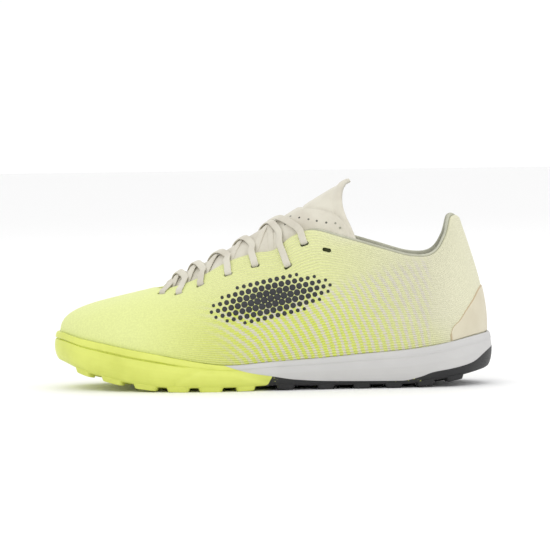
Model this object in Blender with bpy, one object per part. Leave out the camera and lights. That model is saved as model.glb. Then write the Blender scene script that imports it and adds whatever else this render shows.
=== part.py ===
"""A left football shoe for artificial turf: studded rubber outsole, foam midsole, knitted upper, tongue and lace."""

import math

import bmesh
import bpy
import numpy as np
from mathutils import Vector

MM = 0.001

# Driving sizes of the shoe, in metres
LENGTH = 0.290
BALL_WIDTH = 0.102
TOE_CUP_HEIGHT = 0.0378
COLLAR_HEIGHT = 0.1127
TONGUE_HEIGHT = 0.1368
TONGUE_THICKNESS = 0.0030
TONGUE_GAP = 0.0005
TONGUE_HOLLOW = 0.0055
VAMP_GAP = 0.0012
WALL = 0.0020
COLLAR_PAD = 0.0022
RIM_SETBACK = 0.0022
RIM_EDGE = 0.0013
LUG_HEIGHT = 0.0026
LUG_WIDTH = 0.0090
STUD_RADIUS = 0.0048
GROOVE_DEPTH = 0.0012
INSOLE_THICKNESS = 0.0035
INSOLE_SIDE_GAP = 0.0004
COUNTER_THICKNESS = 0.0012
LACE_WIDTH = 0.0047
LACE_THICKNESS = 0.0012
LACE_LIFT = 0.0008
GAP = 0.0003

# The stretch of each lace run that lies on the tongue, as a share of its way across
LACE_START = 0.24
LACE_RUN = 0.60

# Mesh fineness
AROUND = 78
UP = 10
TONGUE_ROWS = 14
FLAP_STEPS = 2
ARCH_STEPS = 10
LACE_STEPS = 6
FOAM_LINE_STEPS = 28

# The sole's outline seen from above: station as a share of LENGTH from the toe,
# distances to the lateral and the medial edge as shares of BALL_WIDTH
OUTLINE = (
    # station, lateral, medial
    (0.000, -0.060, 0.060),
    (0.015, 0.085, 0.200),
    (0.050, 0.230, 0.325),
    (0.110, 0.350, 0.415),
    (0.190, 0.445, 0.470),
    (0.280, 0.508, 0.490),
    (0.370, 0.520, 0.455),
    (0.470, 0.482, 0.380),
    (0.580, 0.430, 0.320),
    (0.700, 0.398, 0.322),
    (0.800, 0.385, 0.345),
    (0.880, 0.358, 0.338),
    (0.940, 0.298, 0.288),
    (0.980, 0.178, 0.178),
    (1.000, 0.000, 0.000),
)

# The sole from the side: heights as shares of TOE_CUP_HEIGHT
PROFILE = (
    # station, tread, rim, bed
    (0.000, 0.437, 1.000, 0.620),
    (0.020, 0.410, 0.990, 0.600),
    (0.040, 0.360, 0.955, 0.575),
    (0.070, 0.270, 0.900, 0.535),
    (0.110, 0.190, 0.841, 0.480),
    (0.180, 0.075, 0.733, 0.410),
    (0.245, 0.015, 0.643, 0.360),
    (0.290, 0.000, 0.575, 0.338),
    (0.400, 0.000, 0.455, 0.325),
    (0.500, 0.020, 0.503, 0.350),
    (0.610, 0.000, 0.550, 0.410),
    (0.695, 0.000, 0.603, 0.460),
    (0.800, 0.000, 0.665, 0.520),
    (0.850, 0.040, 0.712, 0.550),
    (0.906, 0.100, 0.791, 0.590),
    (0.950, 0.165, 0.865, 0.605),
    (1.000, 0.240, 0.921, 0.620),
)

# The line between the outsole and the foam above it, as shares of TOE_CUP_HEIGHT
FOAM_LINE = (
    # station, height
    (0.366, 0.520),
    (0.445, 0.325),
    (0.500, 0.251),
    (0.549, 0.188),
    (0.626, 0.148),
    (0.789, 0.130),
    (0.831, 0.190),
    (0.859, 0.265),
    (0.904, 0.323),
    (0.951, 0.415),
    (0.986, 0.598),
    (1.020, 0.760),
)

# The wall of the sole: height as a share from tread base to rim, distance inside the outline, share of the groove
WALL_STEPS = (
    # height, inset, groove
    (0.00, 0.0040, 0.0),
    (0.10, 0.0016, 0.0),
    (0.32, 0.0003, 0.0),
    (0.52, 0.0000, 0.0),
    (0.70, 0.0005, 0.0),
    (0.78, 0.0009, 1.0),
    (0.86, 0.0012, 0.0),
    (1.00, 0.0022, 0.0),
)
GROOVE_END = 0.34

# The upper's top edge and the run of its wall: foot and top stations as shares of LENGTH, side as a share of
# BALL_WIDTH, height as a share of COLLAR_HEIGHT, rise, flare and reach as shares of the wall's chord
EDGE = (
    # foot, top, side, height, rise, flare, reach, lean
    (0.000, 0.238, 0.000, 0.592, 0.24, 0.00, 0.54, 76.0),
    (0.030, 0.240, 0.050, 0.591, 0.24, 0.01, 0.52, 75.0),
    (0.100, 0.250, 0.100, 0.592, 0.26, 0.03, 0.46, 70.0),
    (0.200, 0.279, 0.145, 0.603, 0.28, 0.03, 0.42, 64.0),
    (0.300, 0.331, 0.180, 0.652, 0.30, 0.03, 0.40, 58.0),
    (0.400, 0.397, 0.200, 0.744, 0.32, 0.03, 0.38, 52.0),
    (0.500, 0.462, 0.228, 0.797, 0.32, 0.03, 0.36, 44.0),
    (0.560, 0.503, 0.262, 0.812, 0.32, 0.02, 0.34, 36.0),
    (0.620, 0.545, 0.295, 0.890, 0.32, 0.02, 0.34, 26.0),
    (0.680, 0.590, 0.322, 0.925, 0.32, 0.01, 0.33, 18.0),
    (0.760, 0.662, 0.342, 0.877, 0.32, 0.01, 0.33, 12.0),
    (0.840, 0.745, 0.342, 0.813, 0.32, 0.01, 0.33, 8.0),
    (0.900, 0.817, 0.315, 0.763, 0.32, 0.02, 0.32, 9.0),
    (0.945, 0.868, 0.262, 0.775, 0.32, 0.03, 0.30, 12.0),
    (0.975, 0.899, 0.190, 0.880, 0.33, 0.03, 0.28, 15.0),
    (0.990, 0.912, 0.105, 0.982, 0.33, 0.02, 0.27, 17.0),
    (1.000, 0.928, 0.000, 0.985, 0.33, 0.02, 0.27, 17.0),
)

# The tongue: station as a share of LENGTH, height of its ridge as a share of TONGUE_HEIGHT,
# depth of the flap tucked under the upper as a share of the upper's height
TONGUE = (
    # station, ridge, flap
    (0.244, 0.468, 0.050),
    (0.262, 0.500, 0.080),
    (0.300, 0.557, 0.130),
    (0.345, 0.602, 0.180),
    (0.400, 0.660, 0.220),
    (0.470, 0.745, 0.240),
    (0.540, 0.830, 0.240),
    (0.600, 0.902, 0.220),
    (0.650, 0.962, 0.200),
    (0.679, 0.995, 0.180),
)

# The overlay round the heel: half its span and the height of its edge as shares, from the back forwards
COUNTER = (
    # foot station, height as a share of COLLAR_HEIGHT
    (0.905, 0.300),
    (0.915, 0.345),
    (0.935, 0.385),
    (0.955, 0.440),
    (0.975, 0.500),
    (0.990, 0.555),
    (1.000, 0.580),
)

# Edge lugs: station and length as shares of LENGTH
EDGE_LUGS = (
    # station, length
    (0.060, 0.046),
    (0.130, 0.056),
    (0.208, 0.060),
    (0.284, 0.056),
    (0.360, 0.060),
    (0.440, 0.048),
    (0.530, 0.044),
    (0.620, 0.042),
    (0.700, 0.042),
    (0.772, 0.042),
    (0.845, 0.042),
    (0.915, 0.044),
)

# Rows of round studs between the edge lugs: station as a share of LENGTH, number across
STUD_ROWS = (
    # station, across
    (0.095, 2),
    (0.165, 3),
    (0.245, 4),
    (0.322, 4),
    (0.400, 3),
    (0.660, 2),
    (0.735, 2),
    (0.808, 2),
    (0.880, 2),
)

# The eyelets of one side: station as a share of LENGTH, distance below the top edge in metres
EYELETS = (
    # station, below
    (0.255, 0.0065),
    (0.293, 0.0075),
    (0.345, 0.0085),
    (0.402, 0.0090),
    (0.460, 0.0095),
    (0.528, 0.0100),
)

# Colours as red, green and blue, then roughness
FINISHES = {
    "lime_rubber": ((0.72, 0.76, 0.22), 0.45),
    "black_rubber": ((0.025, 0.025, 0.025), 0.55),
    "white_foam": ((0.72, 0.72, 0.70), 0.60),
    "lime_knit": ((0.70, 0.76, 0.30), 0.80),
    "cream_knit": ((0.66, 0.63, 0.55), 0.85),
    "beige_film": ((0.58, 0.54, 0.46), 0.50),
    "grey_lining": ((0.35, 0.35, 0.32), 0.90),
}


def column(table, index):
    """One named column of a table as an array."""
    return np.array([row[index] for row in table], dtype=float)


def curve_through(xs, ys, x):
    """Smooth curve through the rows that never overshoots them, so level stretches stay level."""
    steps = np.diff(xs)
    slopes = np.diff(ys) / steps
    tangents = np.zeros_like(ys)
    tangents[0], tangents[-1] = slopes[0], slopes[-1]
    for i in range(1, len(xs) - 1):
        if slopes[i - 1] * slopes[i] > 0.0:
            before, after = steps[i - 1], steps[i]
            first, second = 2 * after + before, after + 2 * before
            tangents[i] = (first + second) / (first / slopes[i - 1] + second / slopes[i])
    x = np.clip(x, xs[0], xs[-1])
    i = np.clip(np.searchsorted(xs, x) - 1, 0, len(steps) - 1)
    t = (x - xs[i]) / steps[i]
    return (
        ys[i] * (1 + 2 * t) * (1 - t) ** 2
        + tangents[i] * steps[i] * t * (1 - t) ** 2
        + ys[i + 1] * t * t * (3 - 2 * t)
        + tangents[i + 1] * steps[i] * t * t * (t - 1)
    )


def turn_of(share):
    """Angle round the outline of a station: 0 at the toe, pi at the heel, so both ends come out round."""
    return np.arccos(1.0 - 2.0 * np.clip(share, 0.0, 1.0))


def share_of(turn):
    return (1.0 - math.cos(turn)) / 2.0


def ring_value(turns, lateral, medial, turn):
    """Value round the shoe: down the lateral side from toe to heel and back up the medial side, closed."""
    knots = np.concatenate([turns, 2 * math.pi - turns[-2:0:-1]])
    values = np.concatenate([lateral, medial[-2:0:-1]])
    knots = np.concatenate([knots[-3:] - 2 * math.pi, knots, knots[:3] + 2 * math.pi])
    values = np.concatenate([values[-3:], values, values[:3]])
    i = int(np.searchsorted(knots, turn, side="right")) - 1
    step = knots[i + 1] - knots[i]
    t = (turn - knots[i]) / step
    before = (values[i + 1] - values[i - 1]) / (knots[i + 1] - knots[i - 1]) * step
    after = (values[i + 2] - values[i]) / (knots[i + 2] - knots[i]) * step
    return (
        values[i] * (1 + 2 * t) * (1 - t) ** 2
        + before * t * (1 - t) ** 2
        + values[i + 1] * t * t * (3 - 2 * t)
        + after * t * t * (t - 1)
    )


def x_of(share):
    """Station from the toe as a place along X, with the toe at -X."""
    return (share - 0.5) * LENGTH


def profile(index, x):
    """Height of the tread, rim or bed at a place along X."""
    return TOE_CUP_HEIGHT * float(curve_through(column(PROFILE, 0), column(PROFILE, index), x / LENGTH + 0.5))


def tread(x):
    return profile(1, x)


def rim(x):
    return profile(2, x)


def bed(x):
    return profile(3, x)


def outline(turn):
    """Point of the sole's outline, seen from above; the lateral side is -Y."""
    turn = turn % (2 * math.pi)
    turns = turn_of(column(OUTLINE, 0))
    side = ring_value(turns, -column(OUTLINE, 1), column(OUTLINE, 2), turn)
    return Vector((x_of(share_of(turn)), side * BALL_WIDTH, 0.0))


def outward(turn):
    """Level direction that points out of the outline."""
    step = 0.002
    along = outline(turn + step) - outline(turn - step)
    return Vector((along.y, -along.x, 0.0)).normalized()


def inset(turn, distance):
    return outline(turn) - outward(turn) * distance


def edge_value(index, turn):
    values = column(EDGE, index)
    return ring_value(turn_of(column(EDGE, 0)), values, values, turn % (2 * math.pi))


def middle(share):
    """Sideways place of the shoe's middle line at a station."""
    shares = column(OUTLINE, 0)
    middles = (column(OUTLINE, 2) - column(OUTLINE, 1)) / 2
    return 0.5 * BALL_WIDTH * float(curve_through(shares, middles, share))


def top_edge(turn):
    """Point of the upper's top edge: the throat's front at turn 0, the heel at turn pi."""
    turn = turn % (2 * math.pi)
    share = edge_value(1, turn)
    values = column(EDGE, 2)
    side = ring_value(turn_of(column(EDGE, 0)), -values, values, turn)
    return Vector((x_of(share), side * BALL_WIDTH + middle(share), edge_value(3, turn) * COLLAR_HEIGHT))


def rim_foot(turn):
    """Where the upper comes out of the sole's rim."""
    foot = inset(turn, RIM_SETBACK + RIM_EDGE + GAP)
    foot.z = rim(foot.x)
    return foot


def upper_point(turn, v):
    """Outer face of the upper: v from -1 at the bed to 0 at the rim and 1 at the top edge."""
    foot, top = rim_foot(turn), top_edge(turn)
    out = outward(turn)
    if v < 0.0:
        base = foot - out * 0.6 * MM
        base.z = bed(foot.x) + GAP
        return foot.lerp(base, -v)
    chord = (top - foot).length
    inward = Vector((top.x - foot.x, top.y - foot.y, 0.0)) - out * 0.1 * LENGTH
    inward.normalize()
    lean = math.radians(edge_value(7, turn))
    first = foot + (Vector((0, 0, 1)) * edge_value(4, turn) + out * edge_value(5, turn)) * chord
    slope = Vector((0, 0, 1)) * math.cos(lean) + inward * math.sin(lean)
    second = top - slope * edge_value(6, turn) * chord
    w = 1.0 - v
    return foot * w**3 + first * 3 * v * w * w + second * 3 * v * v * w + top * v**3


def upper_normal(turn, v):
    """Direction that points out of the upper."""
    step = 0.004
    around = upper_point(turn + step, v) - upper_point(turn - step, v)
    low, high = max(v - step, -1.0 if v < 0 else 0.0), min(v + step, 1.0)
    up = upper_point(turn, high) - upper_point(turn, low)
    normal = around.cross(up).normalized()
    return normal if normal.dot(outward(turn)) + normal.z > 0 else -normal


def wall_at(turn, v):
    """Thickness of the upper's wall, with the padding of the collar round the ankle."""
    share = share_of(turn)
    round_ankle = min(1.0, max(0.0, (share - 0.60) / 0.10))
    near_edge = min(1.0, max(0.0, (v - 0.55) / 0.25)) * min(1.0, max(0.25, (1.0 - v) / 0.12))
    return WALL + COLLAR_PAD * round_ankle * near_edge


def on_upper(turn, v, lift):
    return upper_point(turn, v) + upper_normal(turn, v) * lift


def v_at_height(turn, height):
    """Place on the upper's column where it reaches a height."""
    low, high = 0.0, 1.0
    for _ in range(30):
        half = (low + high) / 2
        if upper_point(turn, half).z < height:
            low = half
        else:
            high = half
    return (low + high) / 2


def turn_at(share, side):
    """Turn of a station: side -1 is lateral, +1 is medial."""
    turn = float(turn_of(share))
    return turn if side < 0 else 2 * math.pi - turn


def finish(name):
    material = bpy.data.materials.get(name)
    if material:
        return material
    colour, roughness = FINISHES[name]
    material = bpy.data.materials.new(name)
    material.use_nodes = True
    shader = material.node_tree.nodes["Principled BSDF"]
    shader.inputs["Base Color"].default_value = (*colour, 1.0)
    shader.inputs["Roughness"].default_value = roughness
    material.diffuse_color = (*colour, 1.0)
    return material


def solid(name, vertices, faces, material):
    """Closed mesh as an object, with its faces pointing out."""
    mesh = bpy.data.meshes.new(name)
    mesh.from_pydata([tuple(v) for v in vertices], [], faces)
    work = bmesh.new()
    work.from_mesh(mesh)
    bmesh.ops.recalc_face_normals(work, faces=work.faces)
    bmesh.ops.triangulate(work, faces=work.faces)
    work.to_mesh(mesh)
    work.free()
    mesh.materials.append(finish(material))
    piece = bpy.data.objects.new(name, mesh)
    bpy.context.collection.objects.link(piece)
    piece.parent = bpy.data.objects["shoe"]
    return piece


def bands(rows, closed):
    """Quads between rows of points that all have the same number of points."""
    count = len(rows[0])
    last = count if closed else count - 1
    faces = []
    for r in range(len(rows) - 1):
        for i in range(last):
            j = (i + 1) % count
            faces.append((r * count + i, r * count + j, (r + 1) * count + j, (r + 1) * count + i))
    return faces


def across(count, start):
    """Faces that close a ring of points, from each lateral point to the medial one at its station."""
    half = count // 2
    faces = [(start, start + 1, start + count - 1), (start + half - 1, start + half, start + half + 1)]
    for i in range(1, half - 1):
        faces.append((start + i, start + i + 1, start + count - i - 1, start + count - i))
    return faces


def turns_around(count=AROUND):
    return [2 * math.pi * i / count for i in range(count)]


def stacked(name, rings, material):
    """Solid made of rings of points, closed across its lowest and its highest ring."""
    points = [p for ring in rings for p in ring]
    count = len(rings[0])
    faces = bands(rings, True) + across(count, 0) + across(count, (len(rings) - 1) * count)
    return solid(name, points, faces, material)


def sole_ring(height, distance, groove):
    """One ring of the sole's outer wall."""
    ring = []
    for turn in turns_around():
        share = share_of(turn)
        fade = min(1.0, max(0.0, (GROOVE_END - share) / 0.06))
        point = inset(turn, distance + GROOVE_DEPTH * groove * fade)
        low, high = tread(point.x) + LUG_HEIGHT, rim(point.x)
        point.z = low + (high - low) * height
        ring.append(point)
    return ring


def rim_ring(v):
    """One ring of the rim's inner face, a gap outside the upper."""
    ring = []
    for turn in turns_around():
        point = upper_point(turn, v) + outward(turn) * GAP
        point.z = rim(point.x) if v == 0.0 else bed(point.x)
        ring.append(point)
    return ring


def whole_sole(name):
    rings = [sole_ring(*row) for row in WALL_STEPS] + [rim_ring(0.0), rim_ring(-1.0)]
    return stacked(name, rings, "lime_rubber")


def block(points, faces_material, name):
    """Prism on a ring of bottom points followed by as many top points."""
    count = len(points) // 2
    faces = bands([points[:count], points[count:]], True)
    faces.append(tuple(range(count)))
    faces.append(tuple(range(count, 2 * count)))
    return solid(name, points, faces, faces_material)


def lug(place, along, half_length, half_width, sides, name):
    """Tapered stud with its foot on the tread and its root inside the sole."""
    points = []
    cross = Vector((-along.y, along.x, 0.0))
    for scale, root in ((0.82, False), (1.0, True)):
        for i in range(sides):
            turn = 2 * math.pi * (i + 0.5) / sides
            reach_x = math.copysign(abs(math.cos(turn)) ** 0.5, math.cos(turn)) * half_length * scale
            reach_y = math.copysign(abs(math.sin(turn)) ** 0.5, math.sin(turn)) * half_width * scale
            point = place + along * reach_x + cross * reach_y
            point.z = tread(point.x) + (LUG_HEIGHT + 1.0 * MM if root else 0.0)
            points.append(point)
    return block(points, "lime_rubber", name)


def all_lugs():
    lugs = []
    for station, length in EDGE_LUGS:
        for side in (-1, 1):
            turn = turn_at(station, side)
            out = outward(turn)
            place = inset(turn, 0.0022 + LUG_WIDTH / 2)
            along = Vector((out.y, -out.x, 0.0))
            lugs.append(lug(place, along, length * LENGTH / 2, LUG_WIDTH / 2, 8, "lug"))
    for station, number in STUD_ROWS:
        low = outline(turn_at(station, -1)).y + 2.1 * LUG_WIDTH
        high = outline(turn_at(station, 1)).y - 2.1 * LUG_WIDTH
        for i in range(number):
            y = low + (high - low) * (i + 0.5) / number if number > 1 else (low + high) / 2
            place = Vector((x_of(station), y, 0.0))
            lugs.append(lug(place, Vector((1, 0, 0)), STUD_RADIUS, STUD_RADIUS, 8, "stud"))
    return lugs


def apply_cut(piece, tool, operation):
    """Boolean of two solids, applied, after which the tool is removed."""
    cut = piece.modifiers.new("cut", "BOOLEAN")
    cut.operation = operation
    cut.solver = "EXACT"
    cut.object = tool
    graph = bpy.context.evaluated_depsgraph_get()
    mesh = bpy.data.meshes.new_from_object(piece.evaluated_get(graph))
    piece.modifiers.clear()
    piece.data = mesh
    bpy.data.objects.remove(tool)


def joined(pieces):
    """One object of several separate closed meshes."""
    work = bmesh.new()
    for piece in pieces:
        work.from_mesh(piece.data)
    for piece in pieces[1:]:
        bpy.data.objects.remove(piece)
    work.to_mesh(pieces[0].data)
    work.free()
    return pieces[0]


def side_prism(name, outline_points):
    """Block with a side view of the given points, wider than the shoe."""
    points = [Vector((x, side * BALL_WIDTH, z)) for side in (-1, 1) for x, z in outline_points]
    return block(points, "lime_rubber", name)


def foam_line(lift):
    """The line between outsole and foam, raised by lift."""
    shares, heights = column(FOAM_LINE, 0), column(FOAM_LINE, 1)
    stations = np.linspace(shares[0], shares[-1], FOAM_LINE_STEPS)
    return [(x_of(s), TOE_CUP_HEIGHT * float(curve_through(shares, heights, s)) + lift) for s in stations]


def build_sole():
    """Outsole in two rubbers and the foam between it and the upper."""
    far = LENGTH
    high = 2 * TOE_CUP_HEIGHT
    low = -TOE_CUP_HEIGHT
    seam_top, seam_bottom = x_of(0.498), x_of(0.480)
    line = foam_line(0.0)
    foam_x = line[0][0]
    rear_line = [p for p in line if p[0] > seam_top + 2 * MM]
    front_line = [p for p in line if p[0] < seam_top - 2 * MM]
    seam_z = TOE_CUP_HEIGHT * float(curve_through(column(FOAM_LINE, 0), column(FOAM_LINE, 1), 0.498))
    front = (
        [(-far, low), (seam_bottom - GAP, low), (seam_bottom - GAP, 0.003), (seam_top - GAP, seam_z)]
        + front_line[::-1]
        + [(foam_x, high), (-far, high)]
    )
    rear = (
        [(far, low), (seam_bottom, low), (seam_bottom, 0.003), (seam_top, seam_z)]
        + rear_line
        + [(far, line[-1][1])]
    )
    lifted = foam_line(GAP)
    foam = [(foam_x + GAP, high)] + lifted + [(far, lifted[-1][1]), (far, high)]
    pieces = []
    for name, side_view, material, has_lugs in (
        ("outsole_front", front, "lime_rubber", True),
        ("outsole_rear", rear, "black_rubber", True),
        ("midsole", foam, "white_foam", False),
    ):
        piece = whole_sole(name)
        if has_lugs:
            apply_cut(piece, joined(all_lugs()), "UNION")
        apply_cut(piece, side_prism(name + "_side", side_view), "INTERSECT")
        piece.data.materials.clear()
        piece.data.materials.append(finish(material))
        pieces.append(piece)
    return pieces


def build_upper():
    """Hollow upper: outer face up, over the top edge, and inner face down."""
    rows_up = [-1.0, 0.0] + [(i + 1) / UP for i in range(UP)]
    outer, inner = [], []
    for v in rows_up:
        outer.append([upper_point(turn, v) for turn in turns_around()])
        row = []
        for turn in turns_around():
            point = on_upper(turn, v, -wall_at(turn, v)) if v > 0.0 else None
            if point is None:
                point = upper_point(turn, v) - outward(turn) * WALL
            row.append(point)
        inner.append(row)
    rings = outer + inner[::-1]
    points = [p for ring in rings for p in ring]
    faces = bands(rings, True)
    count, last = len(rings[0]), len(rings) - 1
    for i in range(count):
        j = (i + 1) % count
        faces.append((last * count + i, last * count + j, j, i))
    return solid("upper", points, faces, "lime_knit")


def build_insole():
    """Loose foam sole lying on the bed, inside the upper's wall."""
    rings = []
    for lift, side in ((GAP, 0.0), (GAP + 0.7 * INSOLE_THICKNESS, 0.0), (GAP + INSOLE_THICKNESS, 0.0012)):
        ring = []
        for turn in turns_around():
            point = upper_point(turn, -1.0) - outward(turn) * (WALL + INSOLE_SIDE_GAP + side)
            point.z = bed(point.x) + lift
            ring.append(point)
        rings.append(ring)
    return stacked("insole", rings, "grey_lining")


def build_counter():
    """Film overlay round the heel, a gap outside the upper."""
    stations, heights = column(COUNTER, 0), column(COUNTER, 1)
    start = float(turn_of(stations[0]))
    columns, rows = 18, 4
    inner, outer = [], []
    for i in range(columns + 1):
        turn = start + (2 * math.pi - 2 * start) * i / columns
        height = COLLAR_HEIGHT * float(curve_through(stations, heights, share_of(turn)))
        low = v_at_height(turn, rim(rim_foot(turn).x) + 0.8 * MM)
        high = v_at_height(turn, height)
        places = [low + (high - low) * k / rows for k in range(rows + 1)]
        inner.append([on_upper(turn, v, GAP) for v in places])
        outer.append([on_upper(turn, v, GAP + COUNTER_THICKNESS) for v in places])
    loops = [inner[i] + outer[i][::-1] for i in range(columns + 1)]
    points = [p for loop in loops for p in loop]
    count = len(loops[0])
    faces = bands(loops, True)
    faces.append(tuple(range(count)))
    faces.append(tuple(range(columns * count, (columns + 1) * count)))
    return solid("heel_counter", points, faces, "beige_film")


def turn_of_edge(station, side):
    """Turn whose column meets the throat's edge at a station."""
    low, high = 0.0, math.pi
    for _ in range(40):
        half = (low + high) / 2
        if edge_value(1, half) < station:
            low = half
        else:
            high = half
    return low if side < 0 else 2 * math.pi - low


def inside_upper(turn, v):
    """Place of the tongue's outer face where it lies inside the upper."""
    return on_upper(turn, v, -(wall_at(turn, min(v, 0.9)) + TONGUE_GAP))


def tongue_row(share):
    """Outer points of the tongue at a station: the flap inside the upper, the arch and the other flap."""
    lateral, medial = turn_of_edge(share, -1), turn_of_edge(share, 1)
    flap = float(curve_through(column(TONGUE, 0), column(TONGUE, 2), share))
    places = [1.0 - flap * (1.0 - k / FLAP_STEPS) for k in range(FLAP_STEPS)]
    row = [inside_upper(lateral, v) for v in places]
    row += [arch_point(share, k / ARCH_STEPS) for k in range(ARCH_STEPS + 1)]
    row += [inside_upper(medial, v) for v in reversed(places)]
    return row


def arch_point(share, t):
    """Point of the tongue between the throat's edges: t from 0 at the lateral edge to 1 at the medial one."""
    ridge = TONGUE_HEIGHT * float(curve_through(column(TONGUE, 0), column(TONGUE, 1), share))
    handles = []
    for side in (-1, 1):
        turn = turn_of_edge(share, side)
        start = inside_upper(turn, 1.0)
        slope = (start - inside_upper(turn, 0.96)).normalized()
        slope.x = 0.0
        reach = (ridge - start.z) / (0.75 * max(slope.z, 0.2))
        handles += [start, start + slope * reach]
    start, first, end, second = handles
    w = 1.0 - t
    point = start * w**3 + first * 3 * t * w * w + second * 3 * t * t * w + end * t**3
    last = TONGUE[-1][0]
    point.x -= TONGUE_HOLLOW * math.sin(2 * math.pi * min(t, w)) * max(0.0, (share / last - 0.7) / 0.3)
    return point


def build_tongue():
    """Padded tongue: from under the vamp, below the lace, to above the ankle, its sides inside the upper."""
    first, last = TONGUE[0][0], TONGUE[-1][0]
    rows = []
    count = 2 * FLAP_STEPS + ARCH_STEPS + 1
    start_turn = turn_of_edge(first, -1)
    for k in (2, 1):
        turns = [start_turn * (1.0 - 0.25 * k) * (1.0 - 2.0 * j / (count - 1)) for j in range(count)]
        rows.append([inside_upper(turn, 1.0 - 0.06 * k) - Vector((0, 0, VAMP_GAP)) for turn in turns])
    rows += [tongue_row(first + (last - first) * i / TONGUE_ROWS) for i in range(TONGUE_ROWS + 1)]
    loops = []
    for i, row in enumerate(rows):
        ahead, behind = rows[min(i + 1, len(rows) - 1)], rows[max(i - 1, 0)]
        inner = []
        for j, point in enumerate(row):
            around = row[min(j + 1, count - 1)] - row[max(j - 1, 0)]
            out = (ahead[j] - behind[j]).cross(around).normalized()
            inner.append(point - out * TONGUE_THICKNESS * (0.5 if i < 2 else 1.0))
        loops.append(row + inner[::-1])
    points = [p for loop in loops for p in loop]
    around = len(loops[0])
    faces = bands(loops, True)
    for start in (0, (len(loops) - 1) * around):
        for j in range(count - 1):
            faces.append((start + j, start + j + 1, start + around - j - 2, start + around - j - 1))
    return solid("tongue", points, faces, "cream_knit")


def eyelet(row, side):
    """Middle of an eyelet on the upper's outer face, its turn and the direction out of the upper."""
    station, below = EYELETS[row]
    turn = turn_of_edge(station, side)
    top = upper_point(turn, 1.0)
    v = 1.0
    while (upper_point(turn, v) - top).length < below:
        v -= 0.005
    return upper_point(turn, v), turn, upper_normal(turn, v)


def over_tongue(share, t, lift):
    """Point over the tongue and the direction out of the tongue there."""
    along = arch_point(share + 0.01, t) - arch_point(share - 0.01, t)
    around = arch_point(share, min(t + 0.02, 1.0)) - arch_point(share, max(t - 0.02, 0.0))
    out = along.cross(around).normalized()
    out = out if out.z > 0 else -out
    return arch_point(share, t) + out * lift, out


def lace_run(row, side, name):
    """Flat lace from under one edge of the throat, over the tongue, to the eyelet above on the other side."""
    lift = LACE_LIFT + LACE_THICKNESS / 2
    over_edge = lift + 1.0 * MM
    start_row = max(row - 1, 0)
    start_place, start_turn, start_out = eyelet(start_row, -side)
    end_place, end_turn, end_out = eyelet(row, side)
    path = []
    if row == 0:
        path.append((start_place + start_out * lift, start_out))
        path.append((top_edge(start_turn) + upper_normal(start_turn, 1.0) * over_edge, start_out))
    for i in range(LACE_STEPS + 1):
        t = LACE_START + LACE_RUN * i / LACE_STEPS
        share = EYELETS[start_row][0] + (EYELETS[row][0] - EYELETS[start_row][0]) * i / LACE_STEPS
        path.append(over_tongue(share, 1.0 - t if side < 0 else t, lift))
    path.append((top_edge(end_turn) + upper_normal(end_turn, 1.0) * over_edge, end_out))
    path.append((end_place + end_out * lift, end_out))
    loops = []
    corners = ((-1, -1), (1, -1), (1, 1), (-1, 1))
    for i, (point, out) in enumerate(path):
        along = (path[min(i + 1, len(path) - 1)][0] - path[max(i - 1, 0)][0]).normalized()
        wide = along.cross(out).normalized()
        high = wide.cross(along).normalized()
        loops.append([point + wide * a * LACE_WIDTH / 2 + high * b * LACE_THICKNESS / 2 for a, b in corners])
    points = [p for loop in loops for p in loop]
    count = len(points)
    faces = bands(loops, True) + [(0, 1, 2, 3), tuple(range(count - 4, count))]
    return solid(name, points, faces, "cream_knit")


def build_lace():
    """Criss-crossed lace over the tongue, joined where it crosses, with its ends at the top eyelets."""
    lace = lace_run(0, -1, "lace")
    for row in range(1, len(EYELETS)):
        for side in (-1, 1):
            apply_cut(lace, lace_run(row, side, "lace_%d_%d" % (row, side)), "UNION")
    return lace


def main():
    for old in list(bpy.data.objects):
        bpy.data.objects.remove(old, do_unlink=True)
    root = bpy.data.objects.new("shoe", None)
    bpy.context.collection.objects.link(root)
    sides = [outline(turn).y for turn in turns_around()]
    root.location.y = -(min(sides) + max(sides)) / 2
    build_sole()
    build_upper()
    build_insole()
    build_counter()
    build_tongue()
    build_lace()


if __name__ == "__main__":
    main()
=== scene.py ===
"""The finish of a left football shoe for artificial turf: knitted upper, tongue, lace, foam and rubber."""

import functools
import math

import bpy
import numpy as np
from mathutils import Matrix, Vector


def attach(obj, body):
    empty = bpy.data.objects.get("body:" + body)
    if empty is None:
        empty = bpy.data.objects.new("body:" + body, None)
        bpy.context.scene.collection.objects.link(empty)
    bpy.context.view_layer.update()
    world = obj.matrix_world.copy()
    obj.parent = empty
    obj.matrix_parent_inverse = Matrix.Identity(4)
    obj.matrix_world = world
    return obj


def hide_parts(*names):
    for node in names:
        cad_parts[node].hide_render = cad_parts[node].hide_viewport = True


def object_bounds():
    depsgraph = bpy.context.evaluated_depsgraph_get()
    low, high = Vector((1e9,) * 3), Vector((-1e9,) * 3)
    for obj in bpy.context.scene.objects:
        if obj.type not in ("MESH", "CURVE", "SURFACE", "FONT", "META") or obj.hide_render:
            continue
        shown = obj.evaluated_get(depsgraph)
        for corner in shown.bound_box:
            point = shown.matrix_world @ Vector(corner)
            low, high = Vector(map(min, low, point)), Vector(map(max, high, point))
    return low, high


bl_info = {
    "name": "Turf Football Shoe",
    "version": (1, 0, 0),
    "blender": (4, 5, 0),
    "location": "3D View > Sidebar > Shoe",
    "description": "Models the upper, tongue, lace, sole and overlays of a turf football shoe",
    "category": "Add Mesh",
}

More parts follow.
